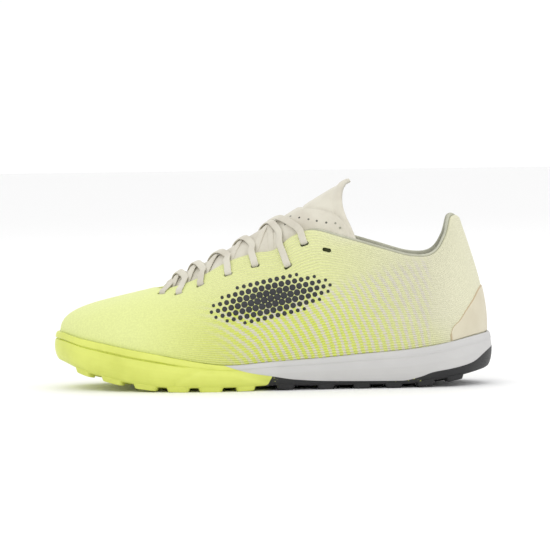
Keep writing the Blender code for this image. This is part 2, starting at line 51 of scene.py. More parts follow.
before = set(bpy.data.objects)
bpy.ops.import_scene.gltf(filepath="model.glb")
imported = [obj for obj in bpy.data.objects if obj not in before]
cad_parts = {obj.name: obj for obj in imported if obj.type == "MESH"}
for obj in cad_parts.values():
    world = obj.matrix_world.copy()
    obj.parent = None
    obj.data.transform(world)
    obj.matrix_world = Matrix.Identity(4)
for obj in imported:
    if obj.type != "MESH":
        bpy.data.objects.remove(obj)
CAD_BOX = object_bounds()
MM = 0.001

# Driving sizes, read from the frame where it has them
LENGTH = CAD_BOX[1].x - CAD_BOX[0].x
BALL_WIDTH = 0.102
TOE_CUP_HEIGHT = 0.0378
COLLAR_HEIGHT = 0.1127
TONGUE_HEIGHT = 0.1368
TONGUE_HOLLOW = 0.0055
TONGUE_GAP = 0.0005
TONGUE_CORNER = 0.0036
WALL = 0.0020
COLLAR_PAD = 0.0022
PAD_START = 0.60
PAD_GROWTH = 0.10
RIM_SETBACK = 0.0022
RIM_EDGE = 0.0013
LUG_HEIGHT = 0.0026
LUG_WIDTH = 0.0090
STUD_RADIUS = 0.0048
GAP = 0.0003

# The sole seen from above: station as a share of LENGTH, edges as shares of BALL_WIDTH
OUTLINE = np.array(
    (
        # station, lateral, medial
        (0.000, -0.060, 0.060),
        (0.015, 0.085, 0.200),
        (0.050, 0.230, 0.325),
        (0.110, 0.350, 0.415),
        (0.190, 0.445, 0.470),
        (0.280, 0.508, 0.490),
        (0.370, 0.520, 0.455),
        (0.470, 0.482, 0.380),
        (0.580, 0.430, 0.320),
        (0.700, 0.398, 0.322),
        (0.800, 0.385, 0.345),
        (0.880, 0.358, 0.338),
        (0.940, 0.298, 0.288),
        (0.980, 0.178, 0.178),
        (1.000, 0.000, 0.000),
    )
)

# The sole from the side: heights as shares of TOE_CUP_HEIGHT
PROFILE = np.array(
    (
        # station, tread, rim, bed
        (0.000, 0.437, 1.000, 0.620),
        (0.020, 0.410, 0.990, 0.600),
        (0.040, 0.360, 0.955, 0.575),
        (0.070, 0.270, 0.900, 0.535),
        (0.110, 0.190, 0.841, 0.480),
        (0.180, 0.075, 0.733, 0.410),
        (0.245, 0.015, 0.643, 0.360),
        (0.290, 0.000, 0.575, 0.338),
        (0.400, 0.000, 0.455, 0.325),
        (0.500, 0.020, 0.503, 0.350),
        (0.610, 0.000, 0.550, 0.410),
        (0.695, 0.000, 0.603, 0.460),
        (0.800, 0.000, 0.665, 0.520),
        (0.850, 0.040, 0.712, 0.550),
        (0.906, 0.100, 0.791, 0.590),
        (0.950, 0.165, 0.865, 0.605),
        (1.000, 0.240, 0.921, 0.620),
    )
)

# The line between outsole and foam, as shares of LENGTH and TOE_CUP_HEIGHT
FOAM_LINE = np.array(
    (
        # station, height
        (0.366, 0.520),
        (0.445, 0.325),
        (0.500, 0.251),
        (0.549, 0.188),
        (0.626, 0.148),
        (0.789, 0.130),
        (0.831, 0.190),
        (0.859, 0.265),
        (0.904, 0.323),
        (0.951, 0.415),
        (0.986, 0.598),
        (1.020, 0.760),
    )
)

# The wall of the sole: height as a share, distance inside the outline in metres, share of the groove
WALL_STEPS = np.array(
    (
        # height, inset, groove
        (0.00, 0.0040, 0.0),
        (0.03, 0.0026, 0.0),
        (0.10, 0.0016, 0.0),
        (0.20, 0.0008, 0.0),
        (0.32, 0.0003, 0.0),
        (0.42, 0.0001, 0.0),
        (0.52, 0.0000, 0.0),
        (0.61, 0.0002, 0.0),
        (0.70, 0.0005, 0.0),
        (0.735, 0.0006, 0.1),
        (0.755, 0.0007, 0.9),
        (0.775, 0.0007, 1.0),
        (0.79, 0.0006, 0.2),
        (0.81, 0.0005, 0.0),
        (0.87, 0.0008, 0.0),
        (0.94, 0.0012, 0.0),
        (0.985, 0.0017, 0.0),
        (1.00, 0.0023, 0.0),
    )
)

# The groove round the toe, down to a station
GROOVE_DEPTH = 0.0012
GROOVE_END = 0.32

# The upper's top edge and wall: stations as shares of LENGTH, side of BALL_WIDTH, height of COLLAR_HEIGHT
EDGE = np.array(
    (
        # foot, top, side, height, rise, flare, reach, lean
        (0.000, 0.238, 0.000, 0.592, 0.24, 0.00, 0.54, 76.0),
        (0.030, 0.240, 0.050, 0.591, 0.24, 0.01, 0.52, 75.0),
        (0.100, 0.250, 0.100, 0.592, 0.26, 0.03, 0.46, 70.0),
        (0.200, 0.279, 0.145, 0.603, 0.28, 0.03, 0.42, 64.0),
        (0.300, 0.331, 0.180, 0.652, 0.30, 0.03, 0.40, 58.0),
        (0.400, 0.397, 0.200, 0.744, 0.32, 0.03, 0.38, 52.0),
        (0.500, 0.462, 0.228, 0.797, 0.32, 0.03, 0.36, 44.0),
        (0.560, 0.503, 0.262, 0.812, 0.32, 0.02, 0.34, 36.0),
        (0.620, 0.545, 0.295, 0.890, 0.32, 0.02, 0.34, 26.0),
        (0.680, 0.590, 0.322, 0.925, 0.32, 0.01, 0.33, 18.0),
        (0.760, 0.662, 0.342, 0.877, 0.32, 0.01, 0.33, 12.0),
        (0.840, 0.745, 0.342, 0.813, 0.32, 0.01, 0.33, 8.0),
        (0.900, 0.817, 0.315, 0.763, 0.32, 0.02, 0.32, 9.0),
        (0.945, 0.868, 0.262, 0.775, 0.32, 0.03, 0.30, 12.0),
        (0.975, 0.899, 0.190, 0.880, 0.33, 0.03, 0.28, 15.0),
        (0.990, 0.912, 0.105, 0.982, 0.33, 0.02, 0.27, 17.0),
        (1.000, 0.928, 0.000, 0.985, 0.33, 0.02, 0.27, 17.0),
    )
)

# The tongue: station, height of its ridge as a share of TONGUE_HEIGHT, depth of the tucked flap
TONGUE = np.array(
    (
        # station, ridge, flap
        (0.244, 0.468, 0.050),
        (0.262, 0.500, 0.080),
        (0.300, 0.557, 0.130),
        (0.345, 0.602, 0.180),
        (0.400, 0.660, 0.220),
        (0.470, 0.745, 0.240),
        (0.540, 0.830, 0.240),
        (0.600, 0.902, 0.220),
        (0.650, 0.962, 0.200),
        (0.679, 0.995, 0.180),
    )
)

# The overlay round the heel: foot station and height as a share of COLLAR_HEIGHT
COUNTER = np.array(
    (
        # station, height
        (0.905, 0.300),
        (0.915, 0.345),
        (0.935, 0.385),
        (0.955, 0.440),
        (0.975, 0.500),
        (0.990, 0.555),
        (1.000, 0.580),
    )
)

EDGE_LUGS = (
    # station, length
    (0.060, 0.046),
    (0.130, 0.056),
    (0.208, 0.060),
    (0.284, 0.056),
    (0.360, 0.060),
    (0.440, 0.048),
    (0.530, 0.044),
    (0.620, 0.042),
    (0.700, 0.042),
    (0.772, 0.042),
    (0.845, 0.042),
    (0.915, 0.044),
)

STUD_ROWS = (
    # station, across
    (0.095, 2),
    (0.165, 3),
    (0.245, 4),
    (0.322, 4),
    (0.400, 3),
    (0.660, 2),
    (0.735, 2),
    (0.808, 2),
    (0.880, 2),
)

# Lace slots of one side: station of the edge, distance below it in metres
EYELETS = (
    # station, below
    (0.266, 0.0088),
    (0.301, 0.0120),
    (0.342, 0.0102),
    (0.399, 0.0118),
    (0.455, 0.0105),
    (0.520, 0.0160),
    (0.566, 0.0085),
    (0.612, 0.0125),
)

# Soft creases: lengths in metres, turn in degrees, side -1 for the lateral side
CREASES = (
    # station, up, length, width, depth, turn, side
    (0.300, 0.62, 0.022, 0.0040, -0.00045, 62.0, -1),
    (0.330, 0.45, 0.020, 0.0050, -0.00040, 70.0, -1),
    (0.300, 0.60, 0.020, 0.0045, -0.00045, 62.0, 1),
    (0.345, 0.42, 0.020, 0.0050, -0.00040, 70.0, 1),
    (0.680, 0.70, 0.030, 0.0060, -0.00060, 20.0, -1),
    (0.660, 0.72, 0.030, 0.0060, -0.00060, 20.0, 1),
    (0.860, 0.60, 0.016, 0.0060, -0.00060, 80.0, -1),
    (0.860, 0.60, 0.016, 0.0060, -0.00060, 80.0, 1),
)


def hermite(start, end, leaving, arriving, t):
    """Smooth step from start to end with the slopes given at both."""
    low = start * (1 + 2 * t) * (1 - t) ** 2 + leaving * t * (1 - t) ** 2
    return low + end * t * t * (3 - 2 * t) + arriving * t * t * (t - 1)


def bezier(start, first, second, end, t):
    """Curve from start to end with two handles."""
    w = 1.0 - t
    return start * w**3 + first * 3 * t * w * w + second * 3 * t * t * w + end * t**3


def curve_through(xs, ys, x):
    """Smooth curve through rows that never overshoots them."""
    steps = np.diff(xs)
    slopes = np.diff(ys) / steps
    tangents = np.zeros_like(ys)
    tangents[0], tangents[-1] = slopes[0], slopes[-1]
    for i in range(1, len(xs) - 1):
        if slopes[i - 1] * slopes[i] > 0.0:
            before, after = steps[i - 1], steps[i]
            first, second = 2 * after + before, after + 2 * before
            tangents[i] = (first + second) / (first / slopes[i - 1] + second / slopes[i])
    x = np.clip(x, xs[0], xs[-1])
    i = np.clip(np.searchsorted(xs, x) - 1, 0, len(steps) - 1)
    t = (x - xs[i]) / steps[i]
    return hermite(ys[i], ys[i + 1], tangents[i] * steps[i], tangents[i + 1] * steps[i], t)


def turn_of(share):
    """Turn round the shoe from a station, 0 at the toe and pi at the heel."""
    return np.arccos(1.0 - 2.0 * np.clip(share, 0.0, 1.0))


def share_of(turn):
    """Station of a turn, as a share of LENGTH."""
    return (1.0 - np.cos(turn)) / 2.0


def ring_value(turns, lateral, medial, turn):
    """Value round the shoe, down the lateral side and back up the medial side."""
    knots = np.concatenate([turns, 2 * math.pi - turns[-2:0:-1]])
    values = np.concatenate([lateral, medial[-2:0:-1]])
    knots = np.concatenate([knots[-3:] - 2 * math.pi, knots, knots[:3] + 2 * math.pi])
    values = np.concatenate([values[-3:], values, values[:3]])
    turn = np.mod(turn, 2 * math.pi)
    i = np.searchsorted(knots, turn, side="right") - 1
    step = knots[i + 1] - knots[i]
    t = (turn - knots[i]) / step
    before = (values[i + 1] - values[i - 1]) / (knots[i + 1] - knots[i - 1]) * step
    after = (values[i + 2] - values[i]) / (knots[i + 2] - knots[i]) * step
    return hermite(values[i], values[i + 1], before, after, t)


def x_of(share):
    """X of a station."""
    return (share - 0.5) * LENGTH


def profile(index, x):
    """Height of one line of PROFILE at x."""
    return TOE_CUP_HEIGHT * curve_through(PROFILE[:, 0], PROFILE[:, index], x / LENGTH + 0.5)


def tread(x):
    return profile(1, x)


def rim(x):
    return profile(2, x)


def bed(x):
    return profile(3, x)


def points(x, y, z):
    """Points from three arrays of like shape."""
    x, y, z = np.broadcast_arrays(x, y, z)
    return np.stack([x, y, z], axis=-1).astype(float)


def unit(vectors):
    return vectors / np.maximum(np.linalg.norm(vectors, axis=-1, keepdims=True), 1e-12)


def side_at(turn):
    """Y of the sole's outline before it is centred."""
    return ring_value(turn_of(OUTLINE[:, 0]), -OUTLINE[:, 1], OUTLINE[:, 2], turn) * BALL_WIDTH


_sides = side_at(np.linspace(0, 2 * math.pi, 79))
SIDE_SHIFT = -(_sides.min() + _sides.max()) / 2


def outline(turn):
    """Points of the sole's outline on the ground."""
    return points(x_of(share_of(turn)), side_at(turn) + SIDE_SHIFT, 0.0)


def outward(turn):
    """Level direction out of the outline."""
    step = 0.002
    along = outline(turn + step) - outline(turn - step)
    return unit(points(along[..., 1], -along[..., 0], 0.0))


def inset(turn, distance):
    """Points at a distance inside the outline."""
    return outline(turn) - outward(turn) * np.asarray(distance)[..., None]


def edge_value(index, turn):
    """Value of one column of EDGE at a turn."""
    return ring_value(turn_of(EDGE[:, 0]), EDGE[:, index], EDGE[:, index], turn)


def middle(share):
    """Y of the middle of the sole at a station."""
    middles = (OUTLINE[:, 2] - OUTLINE[:, 1]) / 2
    return 0.5 * BALL_WIDTH * curve_through(OUTLINE[:, 0], middles, share) + SIDE_SHIFT


def top_edge(turn):
    """Points of the upper's top edge."""
    share = edge_value(1, turn)
    side = ring_value(turn_of(EDGE[:, 0]), -EDGE[:, 2], EDGE[:, 2], turn)
    return points(x_of(share), side * BALL_WIDTH + middle(share), edge_value(3, turn) * COLLAR_HEIGHT)


def upper_point(turn, v):
    """Outer face of the upper: v from -1 at the bed to 0 at the rim and 1 at the top edge."""
    turn, v = np.broadcast_arrays(np.asarray(turn, float), np.asarray(v, float))
    out = outward(turn)
    foot = outline(turn) - out * (RIM_SETBACK + RIM_EDGE + GAP)
    foot[..., 2] = rim(foot[..., 0])
    top = top_edge(turn)
    base = foot - out * 0.6 * MM
    base[..., 2] = bed(foot[..., 0]) + GAP
    chord = np.linalg.norm(top - foot, axis=-1)[..., None]
    inward = top - foot
    inward[..., 2] = 0.0
    inward = unit(inward - out * 0.1 * LENGTH)
    up = np.array([0.0, 0.0, 1.0])
    lean = np.radians(edge_value(7, turn))[..., None]
    first = foot + (up * edge_value(4, turn)[..., None] + out * edge_value(5, turn)[..., None]) * chord
    slope = up * np.cos(lean) + inward * np.sin(lean)
    second = top - slope * edge_value(6, turn)[..., None] * chord
    wall = bezier(foot, first, second, top, np.clip(v, 0.0, 1.0)[..., None])
    skirt = foot + (base - foot) * np.clip(-v, 0.0, 1.0)[..., None]
    return np.where(v[..., None] < 0.0, skirt, wall)


def upper_normal(turn, v):
    """Direction out of the upper's face."""
    step = 0.004
    turn, v = np.broadcast_arrays(np.asarray(turn, float), np.asarray(v, float))
    high, low = np.clip(v + step, 0.0, 1.0), np.clip(v - step, 0.0, 1.0)
    around = upper_point(turn + step, np.clip(v, 0, 1)) - upper_point(turn - step, np.clip(v, 0, 1))
    normal = unit(np.cross(around, upper_point(turn, high) - upper_point(turn, low)))
    facing = (normal * outward(turn)).sum(-1) + normal[..., 2]
    return np.where(facing[..., None] > 0, normal, -normal)


def on_upper(turn, v, lift):
    """Points lifted from the upper's face."""
    return upper_point(turn, v) + upper_normal(turn, v) * np.asarray(lift)[..., None]


def wall_at(turn, v):
    """Thickness of the upper's wall, padded round the ankle."""
    round_ankle = np.clip((share_of(turn) - PAD_START) / PAD_GROWTH, 0.0, 1.0)
    near_edge = np.clip((v - 0.55) / 0.25, 0.0, 1.0) * np.clip((1.0 - v) / 0.12, 0.25, 1.0)
    return WALL + COLLAR_PAD * round_ankle * near_edge


def v_at_height(turn, height):
    """Place on the upper's column where it reaches a height."""
    low, high = np.zeros_like(turn), np.ones_like(turn)
    for _ in range(26):
        half = (low + high) / 2
        under = upper_point(turn, half)[..., 2] < height
        low, high = np.where(under, half, low), np.where(under, high, half)
    return (low + high) / 2


def turn_at(share, side):
    """Turn of a station on the lateral (-1) or medial (1) side."""
    turn = float(turn_of(share))
    return turn if side < 0 else 2 * math.pi - turn


@functools.lru_cache(maxsize=None)
def turn_of_edge(station, side):
    """Turn whose column meets the throat's edge at a station."""
    low, high = 0.0, math.pi
    for _ in range(40):
        half = (low + high) / 2
        if edge_value(1, half) < station:
            low = half
        else:
            high = half
    return low if side < 0 else 2 * math.pi - low


def inside_upper(turn, v):
    """Points just inside the upper's wall, where the tongue's flaps lie."""
    return on_upper(turn, v, -(wall_at(turn, np.minimum(v, 0.9)) + TONGUE_GAP))


@functools.lru_cache(maxsize=None)
def arch_handles(share):
    """Two ends and two handles of the tongue's arch at a station."""
    ridge = TONGUE_HEIGHT * float(curve_through(TONGUE[:, 0], TONGUE[:, 1], share))
    handles = []
    for side in (-1, 1):
        turn = turn_of_edge(share, side)
        start = inside_upper(turn, 1.0)
        slope = unit(start - inside_upper(turn, 0.96))
        slope[0] = 0.0
        reach = (ridge - start[2]) / (0.75 * max(slope[2], 0.2))
        handles += [start, start + slope * reach]
    return handles


def arch_point(share, t):
    """Point of the tongue between the throat's edges, t from 0 at the lateral edge to 1 at the medial one."""
    start, first, end, second = arch_handles(float(share))
    t = np.asarray(t, float)
    row = bezier(start, first, second, end, t[..., None])
    height = share / TONGUE[-1, 0]
    from_edge = np.minimum(t, 1.0 - t)
    row[..., 0] -= TONGUE_HOLLOW * np.sin(2 * math.pi * from_edge) * max(0.0, (height - 0.7) / 0.3)
    late = max(0.0, (height - 0.86) / 0.14)
    row[..., 0] += TONGUE_CORNER * late * np.exp(-((from_edge / 0.09) ** 2))
    return row


def rgb(red, green, blue):
    """Linear colour from display values between 0 and 255."""
    parts = [c / 255.0 for c in (red, green, blue)]
    return tuple(c / 12.92 if c <= 0.04045 else ((c + 0.055) / 1.055) ** 2.4 for c in parts)


class Nodes:
    """Small helper that builds one procedural material."""

    def __init__(self, name, roughness=0.6):
        self.material = bpy.data.materials.new(name)
        self.material.use_nodes = True
        self.tree = self.material.node_tree
        self.shader = self.tree.nodes["Principled BSDF"]
        self.shader.inputs["Roughness"].default_value = roughness

    def add(self, kind, **values):
        node = self.tree.nodes.new(kind)
        for key, value in values.items():
            setattr(node, key, value)
        return node

    def put(self, value, socket):
        """Links a socket, or sets a number or a colour."""
        if hasattr(value, "is_output"):
            self.tree.links.new(value, socket)
        elif value is not None:
            if hasattr(value, "__len__") and len(value) == 3 and socket.type == "RGBA":
                value = (*value, 1.0)
            socket.default_value = value

    def math(self, operation, a, b=None, c=None):
        node = self.add("ShaderNodeMath", operation=operation)
        for value, socket in zip((a, b, c), node.inputs):
            self.put(value, socket)
        return node.outputs[0]

    def times(self, a, b):
        return self.math("MULTIPLY", a, b)

    def plus(self, a, b):
        return self.math("ADD", a, b)

    def minus(self, a, b):
        return self.math("SUBTRACT", a, b)

    def mix(self, share, a, b, blend="MIX"):
        node = self.add("ShaderNodeMix", data_type="RGBA", blend_type=blend)
        self.put(share, node.inputs[0])
        self.put(a, node.inputs[6])
        self.put(b, node.inputs[7])
        return node.outputs[2]

    def step(self, value, low, high, start=0.0, end=1.0):
        """Smooth ramp of a value between two limits."""
        node = self.add("ShaderNodeMapRange", interpolation_type="SMOOTHSTEP")
        for number, socket in zip((value, low, high, start, end), node.inputs):
            self.put(number, socket)
        return node.outputs[0]

    def noise(self, place, scale, detail=2.0, stretch=None, roughness=0.5):
        if stretch:
            mapping = self.add("ShaderNodeMapping")
            self.put(place, mapping.inputs[0])
            mapping.inputs[3].default_value = stretch
            place = mapping.outputs[0]
        node = self.add("ShaderNodeTexNoise")
        self.put(place, node.inputs["Vector"])
        node.inputs["Scale"].default_value = scale
        node.inputs["Detail"].default_value = detail
        node.inputs["Roughness"].default_value = roughness
        return node.outputs[0]

    def place(self):
        """Object coordinates, and their X, Y and Z."""
        coordinates = self.add("ShaderNodeTexCoord").outputs["Object"]
        parts = self.add("ShaderNodeSeparateXYZ")
        self.put(coordinates, parts.inputs[0])
        return coordinates, parts.outputs[0], parts.outputs[1], parts.outputs[2]

    def uv(self):
        """U and V of the piece's own map."""
        parts = self.add("ShaderNodeSeparateXYZ")
        self.put(self.add("ShaderNodeTexCoord").outputs["UV"], parts.inputs[0])
        return parts.outputs[0], parts.outputs[1]

    def bump(self, height, strength, distance, under=None):
        node = self.add("ShaderNodeBump")
        node.inputs["Strength"].default_value = strength
        node.inputs["Distance"].default_value = distance
        self.put(height, node.inputs["Height"])
        self.put(under, node.inputs["Normal"])
        return node.outputs[0]

    def finish(self, colour=None, normal=None, roughness=None):
        self.put(colour, self.shader.inputs["Base Color"])
        self.put(normal, self.shader.inputs["Normal"])
        self.put(roughness, self.shader.inputs["Roughness"])
        return self.material


# Ribs of the knit between the rim and the top edge, and the middle of the printed arcs: x and z in metres
RIBS = 46.0
STRIPE_CENTRE = (-0.0548, -0.0060)


def ripples(m, place, v):
    """Fine wavy ribs that run along the shoe, from the upper's own height coordinate."""
    sway = m.noise(place, 55.0, 2.0)
    wobble = m.noise(place, 260.0, 1.0, stretch=(1.0, 1.0, 2.0))
    phase = m.plus(m.times(v, RIBS * 2 * math.pi), m.times(sway, 9.0))
    phase = m.plus(phase, m.times(wobble, 2.4))
    return m.math("SINE", phase)


def knit_material(look, stripe_pitch):
    """Printed knit: lime at the toe, arcs of lime and pale grey on the quarter, cream at the heel."""
    m = Nodes("lime_knit_finish", 0.62)
    place, x, _, z = m.place()
    _, v = m.uv()
    wave = ripples(m, place, v)
    toe_to_quarter = m.step(x, -0.075, -0.005)
    to_heel = m.step(x, 0.015, 0.115)
    colour = m.mix(toe_to_quarter, look.toe, look.quarter)
    low = m.step(z, 0.072, 0.030)
    colour = m.mix(m.times(low, m.step(x, -0.10, -0.02)), colour, look.low_quarter)
    high = m.times(m.step(z, 0.070, 0.105), m.step(x, -0.05, 0.03))
    colour = m.mix(m.times(high, 0.55), colour, look.throat)
    heel = m.math("MAXIMUM", to_heel, m.times(m.step(z, 0.085, 0.105), m.step(x, 0.02, 0.06)))
    tint = m.times(m.step(z, 0.050, 0.024), m.step(x, 0.128, 0.090))
    heel = m.times(heel, m.minus(1.0, m.times(tint, 0.55)))
    colour = m.mix(heel, colour, look.heel)
    # Arcs round a centre low on the forefoot
    dx = m.minus(x, STRIPE_CENTRE[0])
    dz = m.minus(z, STRIPE_CENTRE[1])
    reach = m.math("SQRT", m.plus(m.times(dx, dx), m.times(dz, dz)))
    drift = m.times(m.minus(m.noise(place, 28.0, 1.0), 0.5), 0.006)
    reach = m.plus(reach, drift)
    beat = m.math("SINE", m.times(reach, 2 * math.pi / stripe_pitch))
    ragged = m.times(wave, 0.55)
    broken = m.times(m.minus(m.noise(place, 420.0, 1.0), 0.5), 1.5)
    beat = m.plus(m.plus(beat, ragged), broken)
    arcs = m.step(beat, 0.10, 0.50)
    start = m.step(m.plus(x, m.times(z, 0.45)), -0.030, 0.004)
    end = m.step(x, 0.106, 0.100)
    top = m.step(m.minus(z, m.times(m.math("MAXIMUM", x, 0.0), 0.30)), 0.062, 0.048)
    shown = m.times(m.times(start, end), top)
    colour = m.mix(m.times(m.times(arcs, shown), 0.95), colour, look.pale_stripe)
    bright = m.times(m.minus(1.0, arcs), m.times(shown, m.step(x, 0.135, 0.02)))
    lower = m.step(z, 0.088, 0.040)
    colour = m.mix(m.times(m.times(bright, lower), 0.75), colour, look.lime_stripe)
    # Painted shade: the grooves between the ribs are mixed towards a darker, greyer colour
    ribs = m.times(m.step(wave, 0.4, -0.8), m.step(x, -0.090, -0.010, 0.05, 0.75))
    ribs = m.times(ribs, m.step(x, 0.135, 0.095, 0.25, 1.0))
    colour = m.mix(m.times(ribs, 0.55), colour, look.rib_shade)
    fleck = m.step(m.noise(place, 900.0, 2.0), 0.35, 0.75, 0.94, 1.03)
    colour = m.mix(1.0, colour, fleck, "MULTIPLY")
    height = m.plus(m.times(wave, 0.5), m.times(m.noise(place, 1500.0, 2.0), 0.35))
    strength = m.times(m.step(x, -0.090, -0.010, 0.08, 1.0), m.step(x, 0.135, 0.095, 0.3, 1.0))
    height = m.times(height, strength)
    normal = m.bump(height, 0.8, 0.00045)
    m.shader.inputs["Specular IOR Level"].default_value = 0.38
    m.shader.inputs["Sheen Weight"].default_value = 0.08
    return m.finish(colour, normal, m.step(wave, -1.0, 1.0, 0.72, 0.55))


def weave_material(name, colour, shade, scale=1400.0, depth=0.00016, roughness=0.85):
    """Plain fine weave, its threads crossing on the piece's own UV map, with painted shade in the low places
    between them.
    """
    m = Nodes(name, roughness)
    place = m.place()[0]
    u, v = m.uv()
    threads = m.times(m.math("SINE", m.times(u, 2 * math.pi)), 0.5)
    cross = m.times(m.math("SINE", m.times(v, 2 * math.pi)), 0.5)
    mesh = m.times(threads, cross)
    fuzz = m.noise(place, scale, 3.0)
    height = m.plus(mesh, m.times(fuzz, 0.5))
    blotch = m.noise(place, 60.0, 3.0)
    tone = m.mix(m.step(blotch, 0.3, 0.75), colour, shade)
    # Painted shade: the low places between the threads are darkened towards the shade colour
    tone = m.mix(m.times(m.step(height, 0.25, -0.2), 0.5), tone, shade)
    m.shader.inputs["Sheen Weight"].default_value = 0.15
    m.shader.inputs["Specular IOR Level"].default_value = 0.3
    return m.finish(tone, m.bump(height, 0.6, depth))


def rubber_material(name, colour, shade, roughness, speck_colour=None):
    """Moulded rubber with a fine stipple and painted shade that darkens its low places."""
    m = Nodes(name, roughness)
    place, x, _, z = m.place()
    stipple = m.noise(place, 1200.0, 2.0)
    broad = m.noise(place, 45.0, 3.0)
    tone = m.mix(m.step(broad, 0.35, 0.70), colour, shade)
    # Painted shade: darker towards the bottom of the sole
    tone = m.mix(m.step(z, 0.014, 0.001, 0.0, 0.45), tone, shade)
    # Lime specks in given bands of the rubber above the tread
    if speck_colour:
        specks = m.times(m.step(m.noise(place, 850.0, 1.0), 0.66, 0.72), m.step(z, 0.0040, 0.0048))
        near = m.times(m.step(x, 0.060, 0.070), m.step(x, 0.104, 0.096))
        front = m.step(x, 0.004, -0.002)
        specks = m.times(specks, m.math("MAXIMUM", near, front))
        tone = m.mix(specks, tone, speck_colour)
    height = m.plus(m.times(stipple, 0.6), m.times(broad, 0.8))
    rough = m.step(stipple, 0.3, 0.7, roughness - 0.08, roughness + 0.08)
    return m.finish(tone, m.bump(height, 0.25, 0.00018), rough)


def foam_material(look):
    """White moulded foam: matte, with faint wrinkles and greyer blotches."""
    m = Nodes("white_foam_finish", 0.55)
    place = m.place()[0]
    skin = m.noise(place, 420.0, 3.0, stretch=(0.5, 1.0, 1.6))
    broad = m.noise(place, 30.0, 2.0)
    tone = m.mix(m.step(broad, 0.3, 0.7), look.foam, look.foam_shade)
    height = m.plus(skin, m.times(m.noise(place, 1600.0, 2.0), 0.4))
    return m.finish(tone, m.bump(height, 0.22, 0.00018), m.step(skin, 0.3, 0.7, 0.48, 0.62))


def film_material(name, colour, shade, roughness=0.45, border=None):
    """Thin film with a fine grain, and a border line where its U coordinate is low."""
    m = Nodes(name, roughness)
    place = m.place()[0]
    grain = m.noise(place, 700.0, 3.0)
    tone = m.mix(m.step(m.noise(place, 50.0, 3.0), 0.3, 0.7), colour, shade)
    if border:
        tone = m.mix(m.step(m.uv()[0], 0.62, 0.42), tone, border)
    rough = m.step(grain, 0.3, 0.7, roughness - 0.05, roughness + 0.1)
    return m.finish(tone, m.bump(grain, 0.3, 0.00014), rough)


def mesh_object(name, vertices, faces, uvs=None, smooth=True):
    """New object from points and faces, with one UV for each point where given."""
    mesh = bpy.data.meshes.new(name)
    places = np.asarray(vertices).reshape(-1, 3)
    mesh.from_pydata([tuple(p) for p in places], [], [tuple(int(i) for i in f) for f in faces])
    if uvs is not None:
        layer = mesh.uv_layers.new(name="UVMap")
        corners = np.empty(len(mesh.loops), dtype=np.int64)
        mesh.loops.foreach_get("vertex_index", corners)
        layer.data.foreach_set("uv", np.asarray(uvs, dtype=np.float32).reshape(-1, 2)[corners].ravel())
    mesh.polygons.foreach_set("use_smooth", [smooth] * len(mesh.polygons))
    piece = bpy.data.objects.new(name, mesh)
    bpy.context.collection.objects.link(piece)
    return piece


def face_out(piece):
    """Turns the faces of a closed piece out."""
    select_only(piece)
    bpy.ops.object.mode_set(mode="EDIT")
    bpy.ops.mesh.select_all(action="SELECT")
    bpy.ops.mesh.normals_make_consistent(inside=False)
    bpy.ops.object.mode_set(mode="OBJECT")
    piece.select_set(False)


def solid_object(name, vertices, faces, uvs=None, smooth=True):
    """New closed object with its faces turned out."""
    piece = mesh_object(name, vertices, faces, uvs, smooth)
    face_out(piece)
    return piece


def select_only(piece):
    """Makes a piece the only selected and the active one."""
    bpy.ops.object.select_all(action="DESELECT")
    bpy.context.view_layer.objects.active = piece
    piece.select_set(True)


def ring_faces(rows, count, closed_rows=False):
    """Quads of a grid of rows whose points run round a ring."""
    r, i = np.meshgrid(np.arange(rows if closed_rows else rows - 1), np.arange(count), indexing="ij")
    j, s = (i + 1) % count, (r + 1) % rows
    return np.stack([r * count + i, r * count + j, s * count + j, s * count + i], axis=-1).reshape(-1, 4)


def tube_faces(rows, count):
    """Faces of a tube of rings, closed by one face at each end."""
    last = (rows - 1) * count
    faces = [tuple(f) for f in ring_faces(rows, count)]
    return faces + [tuple(range(count)), tuple(range(last, last + count))]


def squared(wave, power):
    """Sine or cosine with fuller shoulders, for rounded corners."""
    return np.copysign(np.abs(wave) ** power, wave)


def across(count, start):
    """Faces that close a ring, from each lateral point to the medial one at its station."""
    half = count // 2
    faces = [(start, start + 1, start + count - 1), (start + half - 1, start + half, start + half + 1)]
    for i in range(1, half - 1):
        faces.append((start + i, start + i + 1, start + count - i - 1, start + count - i))
    return faces


def stacked(name, rings):
    """Solid of rings of points, closed across its lowest and highest ring."""
    count = rings.shape[1]
    faces = [tuple(f) for f in ring_faces(len(rings), count)]
    faces += across(count, 0) + across(count, (len(rings) - 1) * count)
    return solid_object(name, rings, faces)


def apply_modifiers(piece):
    """Applies all modifiers of a piece."""
    select_only(piece)
    for modifier in list(piece.modifiers):
        bpy.ops.object.modifier_apply(modifier=modifier.name)
    piece.select_set(False)


def cut(piece, tool, operation):
    """Cuts or joins a piece with a tool, which is then removed."""
    modifier = piece.modifiers.new("cut", "BOOLEAN")
    modifier.operation = operation
    modifier.solver = "EXACT"
    modifier.object = tool
    apply_modifiers(piece)
    bpy.data.objects.remove(tool)


def join(name, pieces):
    """Joins pieces into the first, under a new name."""
    bpy.ops.object.select_all(action="DESELECT")
    for piece in pieces:
        piece.select_set(True)
    bpy.context.view_layer.objects.active = pieces[0]
    if len(pieces) > 1:
        bpy.ops.object.join()
    pieces[0].name = name
    pieces[0].data.name = name
    pieces[0].select_set(False)
    return pieces[0]


def finish_piece(piece, material, slot, *replaced):
    """Gives a finished piece its material and its place in the frame."""
    piece.data.materials.clear()
    piece.data.materials.append(material)
    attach(piece, "root")
    if replaced:
        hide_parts(*replaced)
    return piece


# Points round the upper and round the sole
AROUND = 400
SOLE_AROUND = 300


def all_turns(count):
    """Even turns all the way round."""
    return 2 * math.pi * np.arange(count) / count


# Form of the creases and of the roll of the upper's top edge
CREASE_REACH = 0.02
CREASE_BOW = 6.0
FOLD_SHARE = 0.55
FOLD_DISTANCE = 1.9
ROLL_DEPTH = 0.0009
ROLL_START = 0.965
ROLL_LENGTH = 0.035


